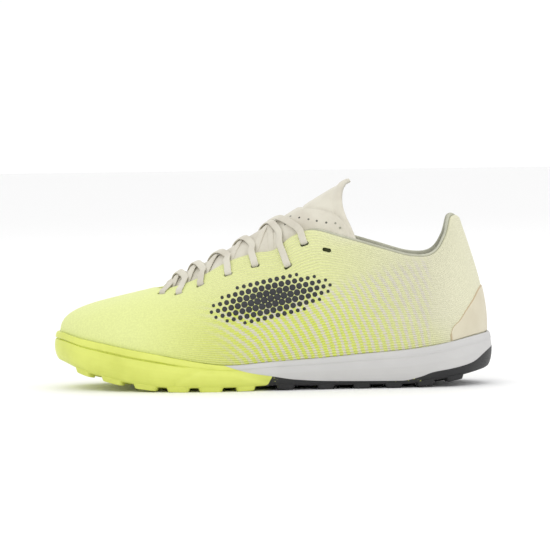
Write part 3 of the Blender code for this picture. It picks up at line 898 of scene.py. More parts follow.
def crease_lift(turn, v):
    """Lift of the listed creases at places on the upper."""
    place = upper_point(turn, v)
    lift = np.zeros(place.shape[:-1])
    for station, up, length, width, depth, tilt, side in CREASES:
        centre = upper_point(turn_at(station, side), up)
        away = place - centre
        same_side = np.exp(-((away[..., 1]) ** 2) / (2 * CREASE_REACH**2))
        tilt = math.radians(tilt)
        along = away[..., 0] * math.cos(tilt) + away[..., 2] * math.sin(tilt)
        over = -away[..., 0] * math.sin(tilt) + away[..., 2] * math.cos(tilt)
        bow = over - along**2 * CREASE_BOW
        hollow = np.exp(-((bow / width) ** 2))
        fold = FOLD_SHARE * np.exp(-(((bow - FOLD_DISTANCE * width) / width) ** 2))
        shape = np.exp(-((along / length) ** 2) * 2) * (hollow - fold)
        lift += depth * shape * same_side
    return lift


def collar_roll(turn, v):
    """Soft rounding of the upper's outer face towards its top edge."""
    return -ROLL_DEPTH * np.clip((v - ROLL_START) / ROLL_LENGTH, 0.0, 1.0) ** 2


def upper_mesh():
    """Outer wall, rolled edge and inner wall of the upper, as one closed mesh."""
    turns = all_turns(AROUND)
    outer_v = np.concatenate([[-1.0, -0.5, -0.12], np.linspace(0.0, 0.96, 84), np.linspace(0.968, 1.0, 8)])
    inner_v = np.concatenate([np.linspace(1.0, 0.55, 20), np.linspace(0.5, 0.0, 12), [-0.5, -1.0]])
    turn, v = np.meshgrid(turns, outer_v)
    settle = np.clip(v / 0.06, 0.0, 1.0) * np.clip((1.0 - v) / 0.05, 0.0, 1.0)
    outer = on_upper(turn, v, np.where(v < 0, 0.0, crease_lift(turn, v) * settle + collar_roll(turn, v)))
    turn_in, v_in = np.meshgrid(turns, inner_v)
    wall = wall_at(turn_in, v_in)
    inner = on_upper(turn_in, np.maximum(v_in, 0.0), -wall)
    skirt = upper_point(turn_in, v_in) - outward(turn_in) * WALL
    inner = np.where((v_in < 0)[..., None], skirt, inner)
    rows = np.concatenate([outer, inner])
    uv_rows = [np.stack([t / (2 * math.pi), height], -1) for t, height in ((turn, v), (turn_in, v_in))]
    faces = ring_faces(len(rows), AROUND, closed_rows=True)
    return solid_object("upper_finish", rows, faces, np.concatenate(uv_rows))


def eyelet(row, side):
    """Middle of a lace slot on the upper, its turn, its place up the wall and the direction out."""
    station, below = EYELETS[row]
    turn = turn_of_edge(station, side)
    top = upper_point(turn, 1.0)
    v = 1.0
    while np.linalg.norm(upper_point(turn, v) - top) < below:
        v -= 0.004
    return upper_point(turn, v), turn, v, upper_normal(turn, v)


def rounded_bar(length, width, depth):
    """Bar with round ends that stands along Z, with its length along X."""
    bpy.ops.object.select_all(action="DESELECT")
    bpy.ops.mesh.primitive_cylinder_add(vertices=16, radius=width / 2, depth=depth)
    bar = bpy.context.active_object
    for vertex in bar.data.vertices:
        vertex.co.x += math.copysign((length - width) / 2, vertex.co.x)
    return bar


def set_in(piece, right, out, place):
    """Turns a piece's mesh so that its X runs right and its Z out, and moves it to a place."""
    right, out = Vector(right), Vector(out)
    matrix = Matrix((right, out.cross(right), out)).transposed().to_4x4()
    matrix.translation = Vector(place)
    piece.data.transform(matrix)
    return piece


def in_each_slot(name, length, width, depth, lift):
    """One bar in each lace slot, its middle lifted from the upper's face, joined into one piece."""
    bars = []
    for row in range(len(EYELETS)):
        for side in (-1, 1):
            place, turn, _, out = eyelet(row, side)
            along = unit(top_edge(turn + 0.02) - top_edge(turn - 0.02))
            along = unit(along - out * (along @ out))
            bars.append(set_in(rounded_bar(length, width, depth), along, out, place + out * lift))
    return join(name, bars)


# The dark plates of painted shadow behind the slots and the bars that cut them, in metres below the upper's
# face
SHADOW_PLATE_DEPTH = 0.0014
SHADOW_PLATE_THICKNESS = 0.0003
CUTTER_LENGTH = 0.009
CUTTER_SINK = 0.0005


def slot_cutters(sizes):
    """Bars that cut the lace slots through the upper."""
    return in_each_slot("slots", sizes.slot_length, sizes.slot_width, CUTTER_LENGTH, -CUTTER_SINK)


def slot_shadow_plates(sizes):
    """Dark plates set inside the wall as painted shadow at the bottom of each lace slot."""
    length, width = sizes.slot_length * 1.04, sizes.slot_width * 1.12
    return in_each_slot("slot_shadow_plates", length, width, SHADOW_PLATE_THICKNESS, -SHADOW_PLATE_DEPTH)


def place_on_side(x, z, side):
    """Turn and height coordinate of the point of the upper seen from the side at x and z."""
    turn = np.full(np.shape(x), turn_at(0.5, side))
    v = np.full(np.shape(x), 0.5)
    step = 0.002
    for _ in range(14):
        place = upper_point(turn, v)
        by_turn = upper_point(turn + step, v) - place
        by_v = upper_point(turn, v + step) - place
        a, b = by_turn[..., 0] / step, by_v[..., 0] / step
        c, d = by_turn[..., 2] / step, by_v[..., 2] / step
        ex, ez = x - place[..., 0], z - place[..., 2]
        size = a * d - b * c
        turn = turn + np.clip((d * ex - b * ez) / size, -0.3, 0.3)
        v = np.clip(v + np.clip((a * ez - c * ex) / size, -0.2, 0.2), 0.02, 0.98)
    return turn, v


# The dark motif on each side: a leaning lens of round spots that shrink towards its tips
MOTIF_CENTRE = (-0.001, 0.0600)
MOTIF_TILT = 12.0
SPOT_SIDES = 18

# A spot from its foot up: share of its radius, height over the upper in metres
SPOT_STEPS = ((1.0, -0.0001), (1.0, 0.00016), (0.86, 0.00026))


def motif_mesh(sizes):
    """Thin raised film spots that follow the upper."""
    tilt = math.radians(MOTIF_TILT)
    pitch, length, height = sizes.spot_pitch, sizes.motif_length, sizes.motif_height
    row_pitch = pitch * math.sin(math.pi / 3)
    rows, columns = int(height / row_pitch) + 2, int(length / pitch) + 2
    centres, radii = [], []
    for r in range(-rows // 2, rows // 2 + 1):
        for c in range(-columns // 2, columns // 2 + 1):
            a = (c + 0.5 * (r % 2)) * pitch
            b = r * row_pitch
            reach = (2 * abs(a) / length) ** 1.8 + (2 * abs(b) / height) ** 1.6
            if reach <= 1.0:
                x = MOTIF_CENTRE[0] + a * math.cos(tilt) - b * math.sin(tilt)
                centres.append((x, MOTIF_CENTRE[1] + a * math.sin(tilt) + b * math.cos(tilt)))
                radii.append(pitch * (0.51 - 0.30 * reach**1.5))
    centres, radii = np.array(centres), np.array(radii)
    angle = all_turns(SPOT_SIDES)
    circle = np.stack([np.cos(angle), np.sin(angle)], -1)
    vertices, faces = [], []
    for side in (-1, 1):
        loops = []
        for scale, lift in SPOT_STEPS:
            spots = centres[:, None] + circle[None] * (radii * scale)[:, None, None]
            turn, v = place_on_side(spots[..., 0], spots[..., 1], side)
            loops.append(on_upper(turn, v, crease_lift(turn, v) + lift))
        for spot in np.stack(loops, axis=1):
            start = len(vertices)
            vertices.extend(spot.reshape(-1, 3))
            faces += [tuple(start + i for i in f) for f in tube_faces(len(SPOT_STEPS), SPOT_SIDES)]
    return solid_object("side_motif", vertices, faces)


# The raised facet on the forefoot's wall: x and height of its upper edge in metres
FACET = (
    (-0.066, 0.0020),
    (-0.058, 0.0070),
    (-0.048, 0.0115),
    (-0.036, 0.0118),
    (-0.025, 0.0105),
    (-0.008, 0.0050),
    (0.000, 0.0020),
)
FACET_DEPTH = 0.0017
FACET_EDGE = 0.0024
FACET_TOP = 0.0075
FACET_FADE = 0.0065
GROOVE_FADE = 0.05


def sole_wall(height, distance, groove):
    """One ring of the sole's outer wall."""
    turn = all_turns(SOLE_AROUND)
    fade = np.clip((GROOVE_END - share_of(turn)) / GROOVE_FADE, 0.0, 1.0)
    ring = inset(turn, distance + GROOVE_DEPTH * groove * fade)
    low, high = tread(ring[:, 0]) + LUG_HEIGHT, rim(ring[:, 0])
    ring[:, 2] = low + (high - low) * height
    facet = np.array(FACET)
    above = ring[:, 2] - np.interp(ring[:, 0], facet[:, 0], facet[:, 1], left=-1.0, right=-1.0)
    edge = np.clip(above / FACET_EDGE, 0.0, 1.0)
    dent = FACET_DEPTH * edge * np.clip((FACET_TOP - above) / FACET_FADE, 0.0, 1.0)
    ring[:, :2] -= (outward(turn) * dent[:, None])[:, :2]
    return ring


def wall_rows():
    """Rows of WALL_STEPS, filled in between the wide ones so that small forms show."""
    heights = np.unique(np.concatenate([WALL_STEPS[:, 0], np.linspace(0.0, 0.70, 29)]))
    rows = [np.interp(heights, WALL_STEPS[:, 0], WALL_STEPS[:, k]) for k in (1, 2)]
    return np.stack([heights, *rows], -1)


def rim_ring(v):
    """Ring on the rim, or on the bed for v below the rim, clear of the upper."""
    turn = all_turns(SOLE_AROUND)
    ring = upper_point(turn, v) + outward(turn) * GAP
    ring[:, 2] = rim(ring[:, 0]) if v == 0.0 else bed(ring[:, 0])
    return ring


def whole_sole(name):
    """The sole without lugs, from the tread to the bed."""
    rings = [sole_wall(*row) for row in wall_rows()] + [rim_ring(0.0), rim_ring(-1.0)]
    return stacked(name, np.array(rings))


# A stud from its sole up: share of its width, height over the tread in metres
STUD_STEPS = (
    (0.76, 0.0),
    (0.83, 0.00012),
    (0.86, 0.0006),
    (0.96, LUG_HEIGHT),
    (1.0, LUG_HEIGHT + 0.001),
)
STUD_SIDES = 24
STUD_CORNER = 0.45
STUD_MARGIN = 2.1 * LUG_WIDTH


def lug_mesh(place, along, half_length, half_width, name):
    """Tapered stud with rounded corners and a softened foot."""
    angle = 2 * math.pi * (np.arange(STUD_SIDES) + 0.5) / STUD_SIDES
    reach_x = squared(np.cos(angle), STUD_CORNER) * half_length
    reach_y = squared(np.sin(angle), STUD_CORNER) * half_width
    cross = np.array([-along[1], along[0], 0.0])
    rings = []
    for scale, lift in STUD_STEPS:
        ring = place + np.outer(reach_x * scale, along) + np.outer(reach_y * scale, cross)
        ring[:, 2] = tread(ring[:, 0]) + lift
        rings.append(ring)
    return mesh_object(name, rings, tube_faces(len(rings), STUD_SIDES))


def all_lugs():
    """Lugs along both edges and rows of studs between them."""
    lugs = []
    for station, length in EDGE_LUGS:
        for side in (-1, 1):
            turn = turn_at(station, side)
            out = outward(np.array(turn))
            place = inset(np.array(turn), RIM_SETBACK + LUG_WIDTH / 2)
            along = np.array([out[1], -out[0], 0.0])
            lugs.append(lug_mesh(place, along, length * LENGTH / 2, LUG_WIDTH / 2, "lug"))
    for station, number in STUD_ROWS:
        low = side_at(turn_at(station, -1)) + SIDE_SHIFT + STUD_MARGIN
        high = side_at(turn_at(station, 1)) + SIDE_SHIFT - STUD_MARGIN
        for i in range(number):
            place = np.array([x_of(station), low + (high - low) * (i + 0.5) / number, 0.0])
            lugs.append(lug_mesh(place, np.array([1.0, 0.0, 0.0]), STUD_RADIUS, STUD_RADIUS, "stud"))
    lugs = join("lugs", lugs)
    face_out(lugs)
    return lugs


def side_prism(name, side_view):
    """Block with a side view of the given points, wider than the shoe."""
    count = len(side_view)
    vertices = [(x, side * BALL_WIDTH, z) for side in (-1, 1) for x, z in side_view]
    return solid_object(name, vertices, tube_faces(2, count), smooth=False)


def foam_line(lift):
    """Points of the line between rubber and foam, as x and z."""
    stations = np.linspace(FOAM_LINE[0, 0], FOAM_LINE[-1, 0], 90)
    heights = TOE_CUP_HEIGHT * curve_through(FOAM_LINE[:, 0], FOAM_LINE[:, 1], stations) + lift
    return list(zip(x_of(stations), heights))


# The seam between the two rubbers: its ends as shares of LENGTH, its bend in metres behind its foot
SEAM_FOOT = 0.480
SEAM_HEAD = 0.498
SEAM_BEND = ((0.0, 0.003), (0.0025, 0.0045))
SEAM_MARGIN = 0.002
PARTING = 0.00005


def sole_side_views():
    """Side views of the front outsole, the rear outsole and the foam."""
    far, high, low = LENGTH, 2 * TOE_CUP_HEIGHT, -TOE_CUP_HEIGHT
    foot_x, head_x = x_of(SEAM_FOOT), x_of(SEAM_HEAD)
    head_z = TOE_CUP_HEIGHT * float(curve_through(FOAM_LINE[:, 0], FOAM_LINE[:, 1], SEAM_HEAD))
    seam = [(foot_x, low), *((foot_x + x, z) for x, z in SEAM_BEND), (head_x, head_z)]
    line, lifted = foam_line(0.0), foam_line(PARTING)
    foam_x = line[0][0]
    front_line = [p for p in line if p[0] < head_x - SEAM_MARGIN]
    rear_line = [p for p in line if p[0] > head_x + SEAM_MARGIN]
    front_seam = [(x - PARTING, z) for x, z in seam]
    front = [(-far, low)] + front_seam + front_line[::-1] + [(foam_x, high), (-far, high)]
    rear = [(far, low)] + seam + rear_line + [(far, line[-1][1])]
    foam = [(foam_x + PARTING, high)] + lifted + [(far, lifted[-1][1]), (far, high)]
    return front, rear, foam


# Rounding of the sole's edges: width in metres, and the angles that are rounded and shaded sharp
SOFT_EDGE = 0.0003
SOFT_ANGLE = 35.0
SHARP_ANGLE = 50.0


def soften(piece):
    """Small rounded edges where faces meet sharply, and smooth shading elsewhere."""
    bevel = piece.modifiers.new("soften", "BEVEL")
    bevel.width = SOFT_EDGE
    bevel.segments = 2
    bevel.limit_method = "ANGLE"
    bevel.angle_limit = math.radians(SOFT_ANGLE)
    bevel.harden_normals = False
    apply_modifiers(piece)
    select_only(piece)
    bpy.ops.object.shade_smooth_by_angle(angle=math.radians(SHARP_ANGLE))
    piece.select_set(False)


# Points over each flap and over the arch, rows up the tongue, and rows hidden under the vamp
TONGUE_STEPS = (8, 84, 150)
FRONT_ROWS = (2.0, 1.5, 1.0, 0.6)
FRONT_SINK = 0.0012


def tongue_rows():
    """Outer points of the tongue, row by row from the vamp to its tip."""
    flap_steps, arch_steps, rows = TONGUE_STEPS
    first, last = TONGUE[0, 0], TONGUE[-1, 0]
    count = 2 * flap_steps + arch_steps + 1
    start_turn = turn_of_edge(first, -1)
    grid = []
    for k in FRONT_ROWS:
        turns = start_turn * (1.0 - 0.25 * k) * (1.0 - 2.0 * np.arange(count) / (count - 1))
        row = inside_upper(turns, np.full(count, 1.0 - 0.06 * k))
        row[:, 2] -= FRONT_SINK
        grid.append(row)
    for i in range(rows + 1):
        share = first + (last - first) * i / rows
        flap = float(curve_through(TONGUE[:, 0], TONGUE[:, 2], share))
        places = 1.0 - flap * (1.0 - np.arange(flap_steps) / flap_steps)
        lateral, medial = turn_of_edge(share, -1), turn_of_edge(share, 1)
        arch = arch_point(share, np.arange(arch_steps + 1) / arch_steps)
        near = inside_upper(np.full(flap_steps, lateral), places)
        other = inside_upper(np.full(flap_steps, medial), places[::-1])
        grid.append(np.concatenate([near, arch, other]))
    return np.array(grid)


def grid_normals(grid):
    """Directions out of an open grid, upwards in its middle."""
    along = np.gradient(grid, axis=0)
    over = np.gradient(grid, axis=1)
    normal = unit(np.cross(along, over))
    middle_normal = normal[len(grid) // 2, grid.shape[1] // 2]
    return normal if middle_normal[2] > 0 else -normal


# Relief of the tongue: its bound edge, its seams and the padding of its lower panel, in metres
BINDING_RISE = 0.0008
SEAM_DEPTH = 0.0008
SEAM_WIDTH = 0.0010
QUILT_DEPTH = 0.0005
PANEL_PAD = 0.0010
PANEL_SLOPE = 0.0012
PANEL_RISE = 0.00104
TONGUE_WIDTH = 0.075
TONGUE_LENGTH = 0.150
TONGUE_THREAD = 0.0011

# Edge of the tongue's lower panel and its pinholes, seen from the side: x and z in metres
PANEL_EDGE = (
    (0.0095, 0.1180),
    (0.0150, 0.1185),
    (0.0206, 0.1180),
    (0.0290, 0.1180),
    (0.0355, 0.1165),
    (0.0405, 0.1150),
    (0.0440, 0.1128),
    (0.0470, 0.1098),
    (0.0495, 0.1050),
    (0.0510, 0.1010),
)
PINHOLES = (
    (0.0133, 0.1118),
    (0.0185, 0.1111),
    (0.0242, 0.1103),
    (0.0298, 0.1094),
    (0.0357, 0.1085),
    (0.0093, 0.1069),
    (0.0151, 0.1066),
    (0.0420, 0.1074),
    (0.0446, 0.1052),
)


def seam_distance(grid):
    """Distance below the panel's edge for points of the tongue, negative above it."""
    edge = np.array(PANEL_EDGE)
    return np.interp(grid[..., 0], edge[:, 0], edge[:, 1]) - grid[..., 2]


PINHOLE_DEPTH = 0.0011


def pinholes(grid, normal, radius):
    """Small dark dents of the tongue's lower panel, on both sides, their dark colour painted shade for the
    inside of the pinholes.
    """
    dents = []
    half = grid.shape[1] // 2
    for part in (slice(0, half), slice(half, None)):
        places = grid[:, part].reshape(-1, 3)
        normals = normal[:, part].reshape(-1, 3)
        for x, z in PINHOLES:
            nearest = np.argmin((places[:, 0] - x) ** 2 + (places[:, 2] - z) ** 2)
            out = normals[nearest]
            right = unit(np.cross(out, np.array([0.0, 0.0, 1.0])))
            dent = rounded_bar(2 * radius, 2 * radius, PINHOLE_DEPTH)
            dents.append(set_in(dent, right, out, places[nearest] + out * (PANEL_RISE - PINHOLE_DEPTH / 2)))
    return join("tongue_pinholes", dents)


def tongue_mesh(thickness):
    """Padded tongue with a raised lower panel, a quilted ridge and bound edges."""
    grid = tongue_rows()
    normal = grid_normals(grid)
    rows, count = grid.shape[:2]
    along = np.linspace(0.0, 1.0, rows)[:, None]
    side = np.linspace(-1.0, 1.0, count)[None, :]
    bound = np.clip(np.exp(-(((0.985 - along) / 0.016) ** 2)) * 1.4, 0.0, 1.0) * BINDING_RISE
    below = seam_distance(grid)
    seam = -SEAM_DEPTH * np.exp(-((below / SEAM_WIDTH) ** 2))
    seam -= QUILT_DEPTH * np.exp(-(((0.945 - along) / 0.007) ** 2))
    pad = PANEL_PAD * np.clip(below / PANEL_SLOPE, 0.0, 1.0) * np.clip((along - 0.25) / 0.15, 0.0, 1.0)
    hidden = np.clip((1.0 - np.abs(side)) / 0.30, 0.0, 1.0)
    outer = grid + normal * ((bound + seam + pad) * hidden)[..., None]
    rim_in = np.where(along > 0.97, 0.7, 1.0)
    inner = grid - normal * (thickness * rim_in)[..., None]
    loops = np.concatenate([outer, inner[:, ::-1]], axis=1)
    around = loops.shape[1]
    faces = [tuple(f) for f in ring_faces(rows, around)]
    for start in (0, (rows - 1) * around):
        for j in range(count - 1):
            faces.append((start + j, start + j + 1, start + around - j - 2, start + around - j - 1))
    u = np.tile(np.concatenate([side[0], side[0][::-1]]) * TONGUE_WIDTH / TONGUE_THREAD, (rows, 1))
    v = np.tile(along * TONGUE_LENGTH / TONGUE_THREAD, (1, around))
    return solid_object("tongue_finish", loops, faces, np.stack([u, v], -1))


# The heel film and the shares of it over which its edges thin out
FILM_THICKNESS = 0.0008
FILM_TOP_FADE = 0.06
FILM_END_FADE = 0.02


def counter_mesh():
    """Smooth film round the heel with a soft edge."""
    start = float(turn_of(COUNTER[0, 0]))
    columns, rows = 140, 40
    turn = np.linspace(start, 2 * math.pi - start, columns + 1)
    height = COLLAR_HEIGHT * curve_through(COUNTER[:, 0], COUNTER[:, 1], share_of(turn))
    foot = outline(turn)
    low = v_at_height(turn, rim(foot[:, 0]) + 0.3 * MM)
    high = v_at_height(turn, height)
    share = np.linspace(0.0, 1.0, rows + 1)[:, None]
    v = low + (high - low) * share
    turn_grid = np.tile(turn, (rows + 1, 1))
    across_share = np.linspace(0.0, 1.0, columns + 1)[None, :]
    top = np.minimum(1.0, (1 - share) / FILM_TOP_FADE)
    edge = np.minimum(top, np.minimum(across_share, 1 - across_share) / FILM_END_FADE)
    lift = FILM_THICKNESS * np.sqrt(np.clip(edge, 0.0, 1.0))
    outer = on_upper(turn_grid, v, lift + 0.00005)
    inner = on_upper(turn_grid, v, np.full(v.shape, -0.0002))
    loops = np.concatenate([outer, inner[::-1]]).transpose(1, 0, 2)
    near = np.concatenate([edge, edge[::-1]]).T
    uvs = np.stack([near, np.zeros_like(near)], -1)
    return solid_object("heel_counter_finish", loops, tube_faces(*loops.shape[:2]), uvs)


# Points round and along a lace, fullness of its corners and face, and spacing of its threads
LACE_SIDES = 14
LACE_STEPS = 6
LACE_CORNER = 0.55
LACE_FACE = 0.75
WARP_THREAD = 0.00055
WEFT_THREAD = 0.0009


def ribbon(name, path, sizes):
    """Flat woven lace along points, its face turned to the given directions."""
    width, thick = sizes.lace_width, sizes.lace_thickness
    outs = np.array([out for _, out in path])
    path = np.array([place for place, _ in path])
    count = (len(path) - 1) * LACE_STEPS + 1
    knots = np.concatenate([[0.0], np.cumsum(np.linalg.norm(np.diff(path, axis=0), axis=1))])
    at = np.linspace(0.0, knots[-1], count)
    smooth_path = np.stack([smooth_through(knots, path[:, k], at) for k in range(3)], -1)
    smooth_out = unit(np.stack([smooth_through(knots, outs[:, k], at) for k in range(3)], -1))
    along = unit(np.gradient(smooth_path, axis=0))
    wide = unit(np.cross(along, smooth_out))
    high = np.cross(wide, along)
    angle = all_turns(LACE_SIDES)
    a = squared(np.cos(angle), LACE_CORNER) * width / 2
    b = squared(np.sin(angle), LACE_FACE) * thick / 2
    rows = smooth_path[:, None] + wide[:, None] * a[None, :, None] + high[:, None] * b[None, :, None]
    u = np.tile(a / WARP_THREAD, (count, 1))
    v = np.tile((at / WEFT_THREAD)[:, None], (1, LACE_SIDES))
    return mesh_object(name, rows, tube_faces(count, LACE_SIDES), np.stack([u, v], -1))


def smooth_through(knots, values, at):
    """Smooth curve through values at knots."""
    slopes = np.gradient(values, knots)
    i = np.clip(np.searchsorted(knots, at) - 1, 0, len(knots) - 2)
    step = knots[i + 1] - knots[i]
    t = (at - knots[i]) / step
    return hermite(values[i], values[i + 1], slopes[i] * step, slopes[i + 1] * step, t)


def over_tongue(share, t, lift):
    """Point over the tongue and the direction out of it."""
    here = arch_point(share, t)
    along = arch_point(share + 0.01, t) - arch_point(share - 0.01, t)
    around = arch_point(share, min(t + 0.02, 1.0)) - arch_point(share, max(t - 0.02, 0.0))
    out = unit(np.cross(along, around))
    out = out if out[2] > 0 else -out
    return here + out * lift, out


# A lace's way into a slot, in metres: short of the slot's middle, below the upper's face, and over the edge
SLOT_APPROACH = 0.0016
SLOT_BEND = 0.0004
SLOT_END = 0.0003
BEND_DEPTH = 0.0008
END_DEPTH = 0.0034
EDGE_RISE = 0.0004


def into_eyelet(row, side, lift):
    """The last points of a lace that goes over the throat's edge and down into a slot."""
    place, turn, v, out = eyelet(row, side)
    edge, edge_out = top_edge(turn), upper_normal(turn, 1.0)
    half_way = upper_point(turn, (v + 1.0) / 2)
    half_out = upper_normal(turn, (v + 1.0) / 2)
    down = unit(place - half_way)
    return [
        (edge + edge_out * (lift + EDGE_RISE), edge_out),
        (half_way + half_out * lift, half_out),
        (place - down * SLOT_APPROACH + out * lift * 0.8, out),
        (place - down * SLOT_BEND - out * BEND_DEPTH, unit(out * 0.3 + down)),
        (place - down * SLOT_END - out * END_DEPTH, unit(out * 0.1 + down)),
    ]


# A run of lace over the tongue: its points, start and length across, and depth of its tucked start
RUN_POINTS = 8
RUN_START = -0.04
RUN_LENGTH = 0.90
TUCK_DEPTH = 0.0006


def lace_run(from_row, to_row, side, lift, name, sizes, start=None):
    """Lace from under one edge, over the tongue, over the other edge and into its slot."""
    rise = sizes.lace_thickness / 2 + GAP
    share_a, share_b = EYELETS[from_row][0], EYELETS[to_row][0]
    path = []
    for i in range(RUN_POINTS):
        t = RUN_START + RUN_LENGTH * i / (RUN_POINTS - 1)
        share = share_a + (share_b - share_a) * i / (RUN_POINTS - 1)
        if start:
            share = start + (share_b - start) * max(0.0, t - 0.45) / 0.55
        over = max(0.0, min(1.0, t))
        hump = lift * math.sin(math.pi * over)
        tuck = 0.0 if t > 0 else -TUCK_DEPTH
        path.append(over_tongue(share, 1.0 - over if side < 0 else over, rise + hump + tuck))
    path += into_eyelet(to_row, side, rise)
    return ribbon(name, path, sizes)


# The top runs cross the ridge at this station and lean back from there to their slots
TOP_START = 0.498

# Lift of the crossings over the tongue: the lateral runs lie over the medial ones
LIFTS = {-1: 0.0022, 1: 0.0006}
TOP_LIFTS = {-1: 0.0026, 1: 0.0004}
SIDE_NAMES = {-1: "lateral", 1: "medial"}


def first_bar(sizes):
    """Lace across the foot of the throat, with both its ends in slots."""
    rise = sizes.lace_thickness / 2 + GAP
    start = into_eyelet(0, -1, rise)[::-1]
    over = [over_tongue(EYELETS[0][0], t, rise + 0.0006) for t in (0.2, 0.4, 0.6, 0.8)]
    path = start + over + into_eyelet(0, 1, rise)
    return ribbon("lace_bar", path, sizes)


def lace_mesh(sizes):
    """The bar at the foot of the throat, five pairs of crossings and the two top runs, as one piece."""
    runs = [first_bar(sizes)]
    for row in range(1, 6):
        for side, lift in LIFTS.items():
            name = "lace_%d_%s" % (row, SIDE_NAMES[side])
            runs.append(lace_run(row - 1, row, side, lift, name, sizes))
    for side, lift in TOP_LIFTS.items():
        runs.append(lace_run(5, 6, side, lift, "lace_top", sizes, TOP_START))
    lace = join("lace_finish", runs)
    face_out(lace)
    return lace


# The lining up the inner side, over the edge and down its outer side: v, lift and rise in metres
LINING_STEPS = (
    (0.06, -0.0003, 0.0),
    (0.20, -0.0004, 0.0),
    (0.35, -0.0006, 0.0),
    (0.50, -0.0010, 0.0),
    (0.62, -0.0016, 0.0),
    (0.75, -0.0024, 0.0),
    (0.88, -0.0024, 0.0),
    (0.96, -0.0020, 0.0005),
    (1.00, -0.0014, 0.0014),
    (1.00, -0.0004, 0.0021),
    (1.00, 0.0009, 0.0019),
    (1.00, 0.0016, 0.0009),
    (1.00, 0.0014, -0.0003),
)
LINING_BACK = (0.97, 0.88, 0.75, 0.60, 0.35, 0.06)
LINING_SINK = 0.0003
LINING_START = 0.560
LINING_FADE = 0.12


def lining_mesh():
    """Soft lining of the ankle, rolled a little over the collar's edge."""
    first = turn_of_edge(LINING_START, -1)
    columns = 220
    turn = np.linspace(first, 2 * math.pi - first, columns + 1)
    fade = np.clip(np.minimum(turn - first, 2 * math.pi - first - turn) / LINING_FADE, 0.0, 1.0)
    rows = []
    for v, lift, rise in LINING_STEPS + tuple((v, LINING_SINK, None) for v in LINING_BACK):
        places = np.full(columns + 1, v)
        point, out = upper_point(turn, places), upper_normal(turn, places)
        wall = wall_at(turn, np.minimum(places, 0.90))
        if rise is None:
            point = point - out * (wall - lift)[:, None]
        else:
            point = point - out * wall[:, None] + out * (lift * (0.35 + 0.65 * fade))[:, None]
            point[:, 2] += rise * fade
        rows.append(point)
    loops = np.array(rows).transpose(1, 0, 2)
    around = loops.shape[1]
    u = np.tile((turn * 0.12 / 0.001)[:, None], (1, around))
    v = np.tile((np.arange(around) * 2.0)[None, :], (len(loops), 1))
    piece = solid_object("collar_lining", loops, tube_faces(len(loops), around), np.stack([u, v], -1))
    divide = piece.modifiers.new("divide", "SUBSURF")
    divide.levels = 1
    divide.render_levels = 1
    apply_modifiers(piece)
    return piece


class ShoeSizes(bpy.types.PropertyGroup):
    """Sizes of the details that the scene adds to the shoe."""

    def size(label, default):
        return bpy.props.FloatProperty(
            name=label, description=label, default=default, min=0.0001, unit="LENGTH"
        )

    lace_width: size("Width of the flat lace", 0.0047)
    lace_thickness: size("Thickness of the lace", 0.0011)
    slot_length: size("Length of a lace slot", 0.0058)
    slot_width: size("Width of a lace slot", 0.0026)
    tongue_thickness: size("Thickness of the tongue", 0.0030)
    pinhole_radius: size("Radius of a pinhole in the tongue", 0.0007)
    spot_pitch: size("Distance between the spots on the side", 0.0044)
    motif_length: size("Length of the field of spots", 0.084)
    motif_height: size("Height of the field of spots", 0.030)
    stripe_pitch: size("Distance between the stripes of the print", 0.0046)


class ShoeLook(bpy.types.PropertyGroup):
    """Colours of the shoe's materials."""

    def tint(label, default):
        return bpy.props.FloatVectorProperty(
            name=label,
            description=label + " of the shoe",
            subtype="COLOR",
            size=3,
            min=0.0,
            max=1.0,
            default=default,
        )

    toe: tint("Toe knit", rgb(219, 226, 150))
    quarter: tint("Quarter knit", rgb(221, 226, 154))
    low_quarter: tint("Lower quarter knit", rgb(206, 214, 108))
    throat: tint("Knit beside the lace", rgb(228, 231, 176))
    heel: tint("Heel knit", rgb(218, 216, 188))
    pale_stripe: tint("Pale stripe", rgb(212, 207, 194))
    lime_stripe: tint("Lime stripe", rgb(208, 222, 58))
    # Painted shade in the grooves between the ribs
    rib_shade: tint("Between the ribs", rgb(208, 205, 168))
    lime_rubber: tint("Lime rubber", rgb(215, 222, 108))
    lime_rubber_shade: tint("Lime rubber shade", rgb(204, 211, 96))
    black_rubber: tint("Black rubber", rgb(32, 32, 34))
    black_rubber_shade: tint("Black rubber shade", rgb(28, 28, 29))
    foam: tint("Foam", rgb(198, 197, 196))
    foam_shade: tint("Foam shade", rgb(192, 191, 190))
    cream: tint("Lace and tongue", rgb(213, 209, 194))
    cream_shade: tint("Lace and tongue shade", rgb(199, 193, 178))
    lining: tint("Lining", rgb(196, 196, 178))
    lining_shade: tint("Lining shade", rgb(170, 170, 152))
    beige: tint("Heel film", rgb(212, 205, 182))
    beige_shade: tint("Heel film shade", rgb(204, 196, 172))
    # Painted shadow: colour of the dark plates in the lace slots
    slot_shadow: tint("Painted shadow in the slots", rgb(58, 64, 34))
    beige_border: tint("Heel film border", rgb(186, 168, 136))
    motif: tint("Motif", rgb(40, 42, 46))
    motif_shade: tint("Motif shade", rgb(30, 31, 34))


class SHOE_OT_upper(bpy.types.Operator):
    """Model the hollow knitted upper with its lace slots"""

    bl_idname = "shoe.upper"
    bl_label = "Upper"

    def execute(self, context):
        piece = upper_mesh()
        sizes = context.scene.shoe_sizes
        cut(piece, slot_cutters(sizes), "DIFFERENCE")
        look = context.scene.shoe_look
        finish_piece(piece, knit_material(look, sizes.stripe_pitch), "lime_knit", "upper")
        # Dark plates in the slots paint the shadow inside them
        slot_shadow = film_material("slot_shadow_finish", look.slot_shadow, look.slot_shadow, 0.9)
        finish_piece(slot_shadow_plates(sizes), slot_shadow, "lime_knit")
        return {"FINISHED"}


